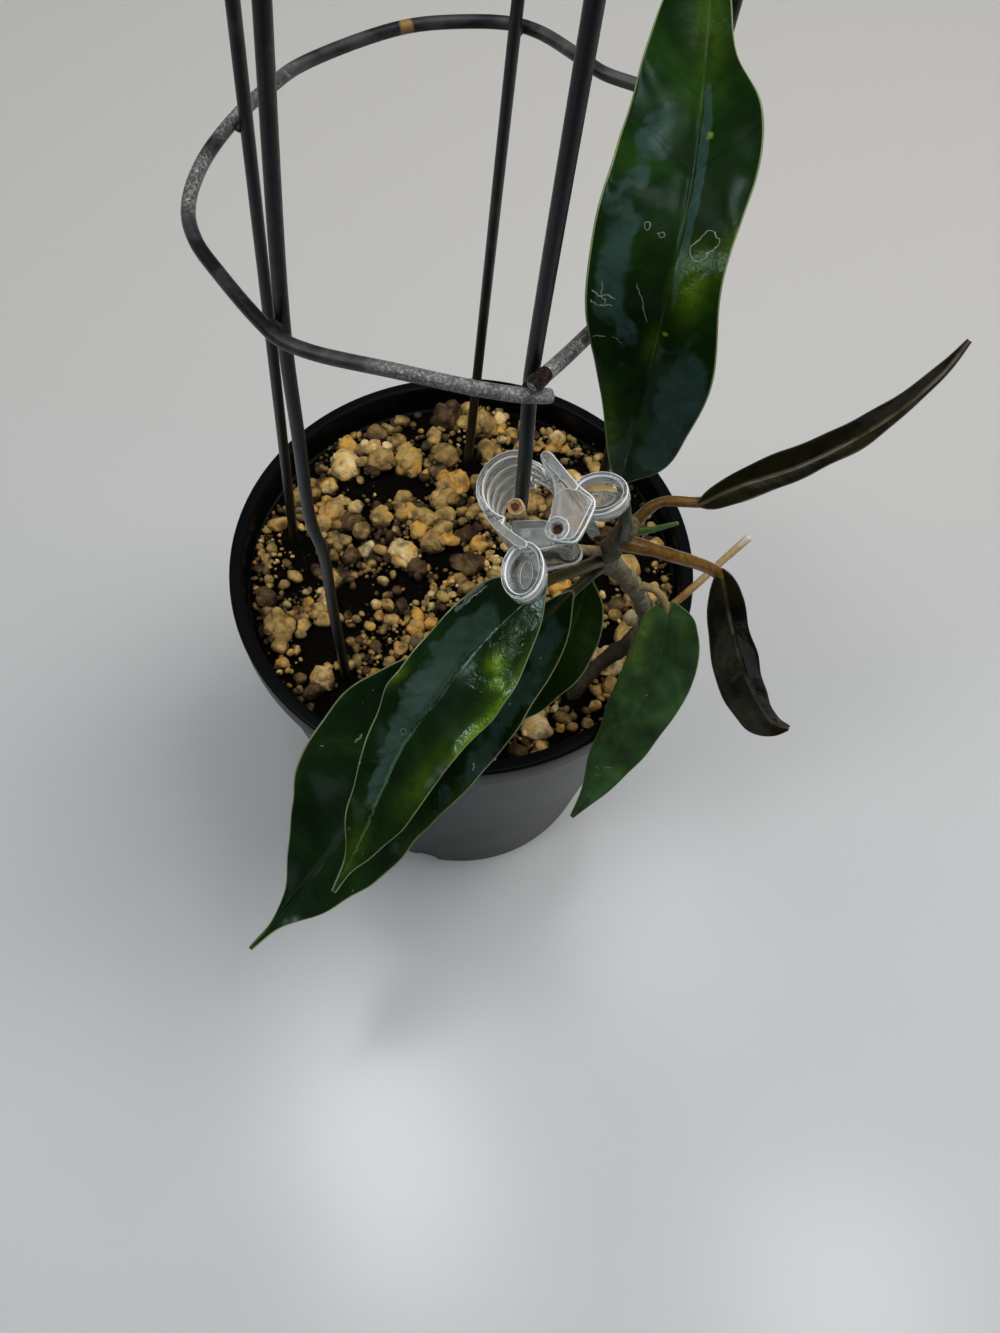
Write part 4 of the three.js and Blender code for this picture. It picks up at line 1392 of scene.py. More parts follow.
@dataclass
class GritBed:
    """The stones on the mix, thrown at random and kept clear of wires, stem and each other."""

    standing: np.ndarray
    reach: float = 55.6
    heavy: float = 2.45
    knobbed: float = 2.8
    most_knobs: int = 5
    seed: int = 11
    pockets: tuple[Point, ...] = (
        (-35.6, -49.9, 6), (-56.6, 17.9, 6), (-21.3, 27.5, 6), (-28.6, -10.9, 5.5),
        (-12.1, -6.3, 5), (18.3, 37.4, 5), (-28.2, -41.1, 6), (-47.9, 28.8, 6),
        (11.7, 52.6, 4), (-32.1, -23.1, 6), (34.5, -16.8, 5), (47, 8.8, 4), (52.3, 22.3, 4),
        (-2.5, 3.9, 4.5), (28.2, -46.7, 5),
    )

    def __post_init__(self) -> None:
        """Takes up the dice and starts with an empty bed."""
        self.dice = random.Random(self.seed)
        self.lying: list[Point] = []

    def clear_of_wires(self, x: float, y: float) -> float:
        """Gives the distance to the nearest wire or stem."""
        return float(np.min(np.hypot(self.standing[:, 0] - x, self.standing[:, 1] - y)))

    def welcome(self, x: float, y: float, size: float, crowding: float) -> bool:
        """Tells whether a stone may stay where it fell.

        Args:
            x: Its place across.
            y: Its place along.
            size: Its size.
            crowding: How close it may lie to others.

        Returns:
            Whether it stays.
        """
        dice = self.dice
        outside = math.hypot((x + 12) / 34, (y - 22) / 24) > 1
        if size > self.heavy and outside and dice.random() < 0.8:
            return False
        if self.clear_of_wires(x, y) < size + 2.3:
            return False
        bare = max(1 - math.hypot(x - px, y - py) / pr for px, py, pr in self.pockets)
        if bare > 0 and dice.random() < 0.6 + bare:
            return False
        if dice.random() > self.clumping(x, y):
            return False
        if not self.lying:
            return True
        others = np.array(self.lying)
        apart = np.hypot(others[:, 0] - x, others[:, 1] - y)
        return bool((apart - crowding * (others[:, 2] + size)).min() >= 0)

    def throw(self, lot: Throw) -> list[Stone]:
        """Throws stones until enough of them have found room.

        Args:
            lot: The handful to throw.

        Returns:
            The stones that found room.
        """
        dice, placed = self.dice, []
        for _ in range(lot.tries):
            if len(placed) >= lot.count:
                break
            angle = dice.uniform(0, FULL_TURN)
            size = lot.small + (lot.large - lot.small) * dice.random() ** 2.0
            reach = (self.reach - size) * math.sqrt(dice.random())
            x, y = reach * math.cos(angle), reach * math.sin(angle)
            if not self.welcome(x, y, size, lot.crowding):
                continue
            z = float(soil_height(np.array(x), np.array(y))) + size * dice.uniform(*lot.lift)
            placed.append(Stone(x, y, z, size, self.tone()))
            self.lying.append((x, y, size))
        return placed

    def crust(self, stones: Sequence[Stone]) -> list[Stone]:
        """Grows knobs on the larger stones, which makes them into lumpy clumps.

        Args:
            stones: The stones.

        Returns:
            The knobs.
        """
        dice, grown = self.dice, []
        for stone in stones:
            if stone.size < self.knobbed:
                continue
            for _ in range(dice.randint(self.most_knobs // 2, self.most_knobs)):
                turn, rise = dice.uniform(0, FULL_TURN), dice.uniform(0.0, 0.55)
                out = stone.size * dice.uniform(0.45, 0.85)
                size = stone.size * dice.uniform(0.28, 0.52)
                x, y = stone.x + out * math.cos(turn), stone.y + out * math.sin(turn)
                if self.clear_of_wires(x, y) < size + 2.0 or math.hypot(x, y) > self.reach - size:
                    continue
                tone = stone.tone + dice.uniform(-0.07, 0.07)
                grown.append(Stone(x, y, stone.z + stone.size * rise, size, tone))
        return grown

    @staticmethod
    def clumping(x: float, y: float) -> float:
        """Gives how likely a stone stays at a place, so that the stones lie in clumps.

        Args:
            x: The place across.
            y: The place along.

        Returns:
            The likelihood.
        """
        place = np.array([[x, y]])
        swell = float(ripple(place, 17, 21)[0]) + 0.5 * float(ripple(place, 8, 22)[0])
        return min(1.0, max(0.08, 0.58 + 0.9 * swell))

    def tone(self) -> float:
        """Picks a stone's colour: most are ochre or tan, some cream, orange or dark.

        Returns:
            The tone, from 0 to 1.
        """
        pick = self.dice.random()
        kinds = ((0.24, 0.12, 0.3), (0.74, 0.36, 0.58), (0.87, 0.60, 0.74), (1.0, 0.78, 0.92))
        low, high = next((low, high) for share, low, high in kinds if pick < share)
        return self.dice.uniform(low, high)

    def hand_over(
        self,
        name: str,
        stones: Sequence[Stone],
        shapes: Sequence[Solid],
        finish: Material,
        crease: float,
    ) -> None:
        """Sets a copy of a shape at every stone and hands them over as one piece.

        Args:
            name: The piece's name.
            stones: Where the stones lie.
            shapes: The stone shapes to pick from.
            finish: Their finish.
            crease: Edges sharper than this many degrees stay crisp.
        """
        dice = self.dice
        points, faces, tones = [], [], []
        total = 0
        for stone in stones:
            shape, sides = shapes[dice.randrange(len(shapes))]
            turn = Matrix.Rotation(dice.uniform(0, 6.28), 3, "Z")
            turn = turn @ Matrix.Rotation(dice.uniform(-0.6, 0.6), 3, "X")
            points.append(shape @ np.array(turn).T * stone.size + (stone.x, stone.y, stone.z))
            faces += [tuple(i + total for i in side) for side in sides]
            tones.append(np.full(len(shape), stone.tone))
            total += len(shape)
        mesh = bpy.data.meshes.new(name)
        mesh.from_pydata((np.vstack(points) * MM).tolist(), [], faces)
        piece = Bench.linked(name, mesh)
        Bench.mark(piece, "tone", np.concatenate(tones))
        Bench.smooth(piece, crease)
        Bench.hand_over(piece, name, Slot.MIX, [finish], ["potting_mix"])


@dataclass
class PottingMix:
    """The dark mix that fills the pot, with stones on top."""

    hub: float = 11.8
    hub_foot: float = 13.4
    hub_top: float = 1.9
    floor: float = 7.8
    gap: float = 0.3
    edge: float = 112.5
    reach: float = 54.6
    sunk: float = 0.9
    steps: int = 120
    lumps: tuple[tuple[float, float, int], ...] = ((0.45, 4.5, 3), (0.3, 2.2, 4))
    large: Throw = Throw(70, 2.5, 4.5, 0.78, (0.0, 0.45), 30000)
    medium: Throw = Throw(395, 1.15, 2.4, 0.70, (0.1, 0.75), 50000)
    small: Throw = Throw(1350, 0.5, 1.2, 0.60, (0.1, 1.0), 60000)
    crumbs: Throw = Throw(2200, 0.18, 0.5, 0.5, (0.4, 1.8), 20000)

    def body(self) -> Piece:
        """Spins the body of the mix and roughens its top.

        Returns:
            The body.
        """
        low, high = (wall_radius(z) - POT_WALL - self.gap for z in (self.floor, self.edge))
        profile = [
            (0, self.hub_top), (self.hub, self.hub_top), (self.hub_foot, self.floor),
            (low - 0.3, self.floor), (high - 0.1, self.edge),
        ]
        profile += [(r, SOIL_LEVEL) for r in np.linspace(self.reach, 0, 52)]
        mix = spun("mix", profile, self.steps)
        points = Bench.points(mix) / MM
        open_top = points[:, 2] > self.edge + 0.1
        top = points[open_top]
        level = soil_height(top[:, 0], top[:, 1])
        for depth, swell, seed in self.lumps:
            level = level + depth * ripple(top[:, :2], swell, seed)
        points[open_top, 2] = level - self.sunk
        Bench.place(mix, points * MM)
        Bench.tidy(mix)
        Bench.smooth(mix)
        return mix

    @staticmethod
    def shapes(seeds: Iterable[int], detail: int, cuts: int, lumps: float) -> list[Solid]:
        """Shapes one stone for each seed."""
        return [StoneTemplate(seed, detail, cuts, lumps).shape() for seed in seeds]

    def build(self, standing: Sequence[Flat]) -> None:
        """Makes the mix and its four sizes of stone.

        Args:
            standing: Where wires and stem come out of it.
        """
        dark_tone, stony = DarkMix().build(), GritStone().build()
        Bench.hand_over(self.body(), "potting_mix_body", Slot.MIX, [dark_tone], ["potting_mix"])
        coarse = self.shapes(range(100, 114), 4, 3, 0.13)
        worn = self.shapes(range(200, 212), 3, 2, 0.14)
        grains = self.shapes(range(300, 305), 2, 0, 0.12)
        bed = GritBed(np.array(standing))
        big = bed.throw(self.large)
        knobs = bed.crust(big)
        bed.hand_over("grit_large", big, coarse, stony, 45)
        bed.hand_over("grit_medium", knobs + bed.throw(self.medium), worn, stony, 50)
        bed.hand_over("grit_small", bed.throw(self.small), grains, stony, 60)
        bed.lying.clear()  # the crumbs may lie on the other stones
        dust = bed.throw(self.crumbs)
        bed.hand_over("grit_crumbs", dust, self.shapes(range(400, 403), 1, 0, 0.1), stony, 60)


# ---------------------------------------------------------------- wire cage


RUBBED_HOOP = CageWire(
    "hoop_lower_coating", 0.72,
    (((4, -40.4, 237), 19), ((14, -41.5, 237), 7), ((-44, -4, 237), 9), ((-41, 12, 237), 7),
     ((24, -26, 238), 14)),
    ((-15.1, 41.1, 236.0), 1.9),
)


@dataclass(frozen=True)
class Upright:
    """One standing wire: where it passes the lower hoop, how it leans, and its bends below."""

    name: str
    at: Flat
    lean: Flat = (0.055, 0.054)
    bends: tuple[Point, ...] = ()
    hoop_level: float = 236.0
    straight_to: float = 300.0
    top: float = 365.5
    foot: float = 62.0

    def at_height(self, z: float) -> Point:
        """Gives the place of the straight upper run at a height."""
        rise = z - self.hoop_level
        return (self.at[0] + rise * self.lean[0], self.at[1] + rise * self.lean[1], z)

    def on_soil(self) -> Flat:
        """Gives where the wire comes out of the mix."""
        return self.bends[-1][:2] if self.bends else self.at_height(SOIL_LEVEL)[:2]

    def path(self) -> list[Point]:
        """Lists the wire's corners from its top to its end in the mix."""
        if not self.bends:
            return [self.at_height(self.top), self.at_height(self.foot)]
        upper = [self.at_height(z) for z in (self.top, self.straight_to, self.hoop_level)]
        return [*upper, *self.bends, (*self.bends[-1][:2], self.foot)]


@dataclass
class WireCage:
    """Five standing wires welded to two hoops."""

    radius: float = 1.2
    gap: float = 0.3
    sides: int = 24
    lower_level: float = 236.0
    upper_level: float = 361.0
    bead: float = 1.3
    bead_height: float = 0.72
    bead_lumps: float = 0.16
    burnt: tuple[float, ...] = (1.22, 1.32, 1.38, 1.3)
    uprights: tuple[Upright, ...] = (
        Upright(
            "upright_left_front", (-25.8, -31.3), (0.082, 0.06),
            ((-26.5, -32.9, 209.3), (-27.2, -33.5, 187), (-26.9, -33.6, 181),
             (-25.9, -33.7, 173.6), (-26.2, -33.8, 150), (-26.2, -34, 114)),
        ),
        Upright("upright_left_back", (-38.7, 10.6)),
        Upright("upright_back", (4.8, 41.6)),
        Upright("upright_right", (38.2, 18.0)),
        Upright(
            "upright_right_front", (12.9, -38.5),
            bends=((12.9, -38.6, 233), (13, -40.4, 226.5), (13.1, -41.4, 220.5),
                   (13.1, -41.4, 112)),
        ),
    )
    level_run: tuple[Flat, ...] = (
        (15.8, -41.6), (12.5, -41.9), (5.4, -41.4), (-6.8, -39.4), (-20.7, -37), (-25.6, -35),
        (-28.8, -32.2), (-37, -23), (-42.3, -16), (-44.8, -9.2), (-44.6, 1.5), (-40.8, 14),
        (-36.4, 22.4), (-32.4, 28.3), (-16.1, 40.8), (-6.3, 43.9), (4.2, 44.7), (9.6, 42.8),
        (17.1, 36.8), (21.5, 33), (28.1, 30.3), (36.5, 26.5), (41.8, 18),
    )
    rising_run: tuple[Point, ...] = (
        (39, 2, 236.3), (31.5, -14, 236.9), (21.3, -30.4, 237.9), (17, -37.3, 238.8),
        (13.4, -42.2, 239),
    )

    def standing(self) -> list[Flat]:
        """Lists where the wires come out of the mix."""
        return [upright.on_soil() for upright in self.uprights]

    def upper_path(self) -> list[Point]:
        """Lists the places of the upper hoop round the tops of the wires."""
        tops = np.array([upright.at_height(self.upper_level) for upright in self.uprights])
        centre = tops.mean(axis=0)
        out = tops - centre
        reach = np.linalg.norm(out, axis=1, keepdims=True)
        out = out / reach * (reach + 2 * (self.radius + self.gap))
        out = out[np.argsort(np.arctan2(out[:, 1], out[:, 0]))]
        corners: list[Point] = []
        for here, after in zip(out, np.roll(out, -1, axis=0)):
            between = unit(here + after) * (np.linalg.norm(here) + np.linalg.norm(after)) / 2
            corners += [tuple(here + centre), tuple(between + centre)]
        return corners

    def beads(self, hoop: np.ndarray, level: float) -> list[Piece]:
        """Makes a weld bead between a hoop and each standing wire.

        Args:
            hoop: Points along the hoop.
            level: The hoop's height.

        Returns:
            The beads.
        """
        made = []
        for i, upright in enumerate(self.uprights):
            wire = np.array(upright.at_height(level))
            near = hoop[np.argmin(np.linalg.norm(hoop - wire, axis=1))]
            Bench.clear()
            bpy.ops.mesh.primitive_ico_sphere_add(
                subdivisions=4, radius=self.bead * MM, location=tuple((wire + near) / 2 * MM)
            )
            bead = bpy.context.object
            bead.scale = (1.0, 1.0, self.bead_height)
            Bench.settle(bead)
            points = Bench.points(bead)
            lumps = ripple(points / MM, 1.6, 40 + i)[:, None] * self.bead_lumps * MM
            Bench.place(bead, points + unit(points - points.mean(axis=0)) * lumps)
            Bench.smooth(bead)
            made.append(bead)
        return made

    def hand_hoop(self, place: str, path: np.ndarray, level: float, coating: CageWire) -> None:
        """Builds one hoop with its welds and hands it over.

        Args:
            place: Which hoop it is, lower or upper.
            path: Points along it.
            level: Its height.
            coating: Its finish.
        """
        name, node = f"cage_{place}_hoop", f"hoop_{place}"
        hoop = Bench.tube(path, np.full(len(path), self.radius), self.sides, place == "upper")
        Bench.hand_over(hoop, name, Slot.WIRE, [coating.build()], [node])
        welds = Bench.join(self.beads(path, level))
        Bench.hand_over(welds, f"{name}_welds", Slot.WIRE, [WeldScar().build()], [node])

    def build(self) -> None:
        """Builds the wires, the hoops and the burnt wire end."""
        coating = CageWire("upright_coating", 0.25).build()
        for upright in self.uprights:
            path, _ = evenly(upright.path(), 160 if upright.bends else 60)
            wire = Bench.tube(path, np.full(len(path), self.radius), self.sides, dome=0.35)
            Bench.hand_over(wire, f"cage_{upright.name}", Slot.WIRE, [coating], [upright.name])
        level_run = [(x, y, self.lower_level) for x, y in self.level_run]
        lower, _ = evenly([*level_run, *self.rising_run], 300)
        upper, _ = evenly(self.upper_path(), 220, closed=True)
        self.hand_hoop("lower", lower, self.lower_level, RUBBED_HOOP)
        self.hand_hoop("upper", upper, self.upper_level, CageWire("hoop_upper_coating", 0.3))
        end = lower[-len(self.burnt):] + (0, 0, 0.05)
        tip = Bench.tube(end, np.array(self.burnt), self.sides, dome=0.6)
        scar = WeldScar("burnt_end").build()
        Bench.hand_over(tip, "cage_burnt_wire_end", Slot.WIRE, [scar], ["hoop_lower"])


# ---------------------------------------------------------------- plant


@dataclass(frozen=True)
class Patch:
    """A paler or raised place on a blade: at t along it and at a share of its half width."""

    t: float
    share: float
    long: float
    wide: float
    # How pale: yellow-green colour, and near a margin also a painted glow of light through the
    # blade.
    pale: float = 0.0
    rise: float = 0.0
    # Blue-grey patch: partly a waxy film, partly a painted reflection.
    bloom: float = 0.0
    crumple: float = 0.0


@dataclass(frozen=True)
class LeafSkins:
    """The materials of one kind of leaf: face, back and rim."""

    face: Material
    back: Material
    rim: Material


@dataclass
class Leaf:
    """One leaf: a blade along its midrib, and the stalk that carries it."""

    node: str
    spine: tuple[Point, ...]
    stalk: tuple[Point, ...]
    stalk_radii: Flat
    face: Point
    left: tuple[float, ...]
    right: tuple[float, ...]
    fold: float
    wave: float
    waves: float
    phase: float
    patches: tuple[Patch, ...] = ()
    keel: float = 0.35
    rows: int = 90
    columns: int = 26
    young: bool = False
    crinkle: float = 0.12
    base_round: float = 5.0
    lobes: float = 1.0
    glow: float = 0.0
    thickness: float = 0.65

    def halves(self, t: np.ndarray, share: np.ndarray, length: float) -> np.ndarray:
        """Gives the blade's half width, rounded off at its base.

        Args:
            t: Places along the blade, from 0 to 1.
            share: Places across it, from -1 to 1.
            length: The blade's length in millimetres.

        Returns:
            The half width at each place.
        """
        half = np.where(share < 0, eased(self.left, t), eased(self.right, t))
        sides = np.column_stack([t * length, np.sign(share) * 30])
        half = half + ripple(sides, 11, len(self.node)) * 0.3 * np.sin(np.pi * t)
        near = np.clip(t * length / self.base_round, 0, 1)
        return np.maximum(half * np.sqrt(np.maximum(1 - (1 - near) ** 2, 0)), 0.12)

    def surface(
        self, t: np.ndarray, share: np.ndarray
    ) -> tuple[np.ndarray, np.ndarray, np.ndarray, float]:
        """Works out the upper face of the blade.

        Args:
            t: Places along the blade, from 0 to 1.
            share: Places across it, from -1 to 1.

        Returns:
            The points in millimetres, the half widths, the distances from the midrib and the
            blade's length.
        """
        dense, _ = evenly(self.spine, 800)
        runs = np.linspace(0, 1, 800)
        length = float(np.linalg.norm(np.diff(dense, axis=0), axis=1).sum())
        middle = np.column_stack([np.interp(t, runs, dense[:, k]) for k in range(3)])
        tangents = np.gradient(dense, axis=0)
        along = unit(np.column_stack([np.interp(t, runs, tangents[:, k]) for k in range(3)]))
        face = np.array(self.face)
        up = unit(face - along * (along @ face)[:, None])
        across = np.cross(along, up)
        half = self.halves(t, share, length)
        width = half * share
        turns = 2 * np.pi * self.waves * t + self.phase + 1.3 * share
        lift = self.fold * (np.sqrt(width**2 + 0.16) - 0.4)
        lift += self.wave * np.sin(np.pi * t) * share**2 * np.sin(turns)
        lift -= self.keel * np.exp(-((width / 0.6) ** 2))
        place = np.column_stack([t * length, width])
        lift += self.crinkle * (ripple(place, 14, 7 + len(self.node)) + 0.25 * ripple(place, 5, 9))
        for patch in self.patches:
            lift += patch.rise * self.nearness(patch, t, share, half, length)
        back = -self.lobes * np.abs(share) ** 1.5 * np.exp(-t * length / (0.6 * self.base_round))
        points = middle + across * width[:, None] + up * lift[:, None] + along * back[:, None]
        return points, half, width, length

    def nearness(
        self, patch: Patch, t: np.ndarray, share: np.ndarray, half: np.ndarray, length: float
    ) -> np.ndarray:
        """Gives 1 in the middle of a patch, falling softly to 0 round it."""
        along, across = (t - patch.t) * length, (share - patch.share) * half
        return np.exp(-((along / patch.long) ** 2 + (across / patch.wide) ** 2))

    def paint(
        self,
        blade: Piece,
        t: np.ndarray,
        share: np.ndarray,
        half: np.ndarray,
        length: float,
    ) -> None:
        """Marks how pale (near a margin partly a painted glow), how blue-grey with waxy film and
        painted reflection, and how crumpled each point of the blade is.

        Args:
            blade: The blade.
            t: Its points' places along it.
            share: Their places across it.
            half: The half widths there.
            length: The blade's length.
        """
        shades = {"pale": np.full(len(t), self.glow), "bloom": np.zeros(len(t))}
        shades["crumple"] = np.zeros(len(t))
        for patch in self.patches:
            near = self.nearness(patch, t, share, half, length)
            own_side = share * patch.share > -0.004
            strengths = (patch.pale, patch.bloom * own_side, patch.crumple)
            for name, strength in zip(shades, strengths):
                shades[name] = np.maximum(shades[name], strength * near)
        for name, values in shades.items():
            Bench.mark(blade, name, values)

    def blade(self, skins: LeafSkins) -> Piece:
        """Shapes the blade out of a grid and gives it its thickness.

        Args:
            skins: The materials of the face, the back and the rim.

        Returns:
            The blade.
        """
        Bench.clear()
        bpy.ops.mesh.primitive_grid_add(
            x_subdivisions=self.columns, y_subdivisions=self.rows, size=2
        )
        blade = bpy.context.object
        flat = Bench.points(blade)
        share = flat[:, 0]
        even = (flat[:, 1] + 1) / 2
        t = np.clip(even - np.sin(FULL_TURN * even) * 0.06, 0, 1)
        points, half, width, length = self.surface(t, share)
        Bench.place(blade, points * MM)
        ends = np.minimum(t, 1 - t) * length + 0.3
        margin = np.minimum(half * (1 - np.abs(share)), ends)
        Bench.mark(blade, "margin_mm", margin)
        self.paint(blade, t, share, half, length)
        self.lay_out(blade, width, t * length)
        group = blade.vertex_groups.new(name="body")
        for i, reach in enumerate(np.clip(margin / 1.5, 0, 1)):
            group.add([i], float(0.4 + 0.6 * reach), "REPLACE")
        for material in (skins.face, skins.back, skins.rim):
            blade.data.materials.append(material)
        Bench.modify(
            blade, "SOLIDIFY", thickness=self.thickness * MM, offset=-1,
            vertex_group="body", material_offset=1, material_offset_rim=2,
        )
        Bench.modify(blade, "SUBSURF", levels=1, render_levels=1)
        Bench.smooth(blade)
        return blade

    @staticmethod
    def lay_out(blade: Piece, across: np.ndarray, along: np.ndarray) -> None:
        """Lays the blade's UV map out in centimetres across and along it.

        Args:
            blade: The blade.
            across: Millimetres from the midrib at each point.
            along: Millimetres from the base at each point.
        """
        corners = np.empty(len(blade.data.loops), int)
        blade.data.loops.foreach_get("vertex_index", corners)
        flat = np.column_stack([across, along])[corners] / 10
        layer = blade.data.uv_layers.active or blade.data.uv_layers.new(name=UV_MAP)
        layer.name = UV_MAP
        layer.data.foreach_set("uv", flat.astype(np.float32).ravel())

    def stem(self) -> Piece:
        """Draws the stalk, which runs on under the blade as its midrib.

        Returns:
            The stalk.
        """
        thick, thin = self.stalk_radii
        dense, _ = evenly(self.spine, 101)
        under = unit(np.array(self.face)) * -(0.75 + thin * 0.55 + self.keel * 0.7)
        rib = [tuple(dense[int(100 * t)] + under) for t in (0, 0.12, 0.26, 0.42, 0.7)]
        between = (thin for _ in self.stalk[1:-1])
        sizes = (thick, *between, thin, thin * 0.8, thin * 0.6, thin * 0.42, 0.22)
        path, radii = evenly((*self.stalk[:-1], *rib), 110, sizes)
        radii = radii * (1 + 0.07 * ripple(path, 4, 5))
        return Bench.tube(path, radii, 20)

    def build(self, skins: LeafSkins, stalk_skin: Material) -> None:
        """Builds the leaf and lets it ride on the plant.

        Args:
            skins: The blade's materials.
            stalk_skin: The stalk's material.
        """
        slot = Slot.YOUNG if self.young else Slot.LEAF
        Bench.hand_over(self.blade(skins), f"{self.node}_blade", slot, [], [self.node])
        Bench.hand_over(self.stem(), f"{self.node}_stalk", slot, [stalk_skin], [self.node])
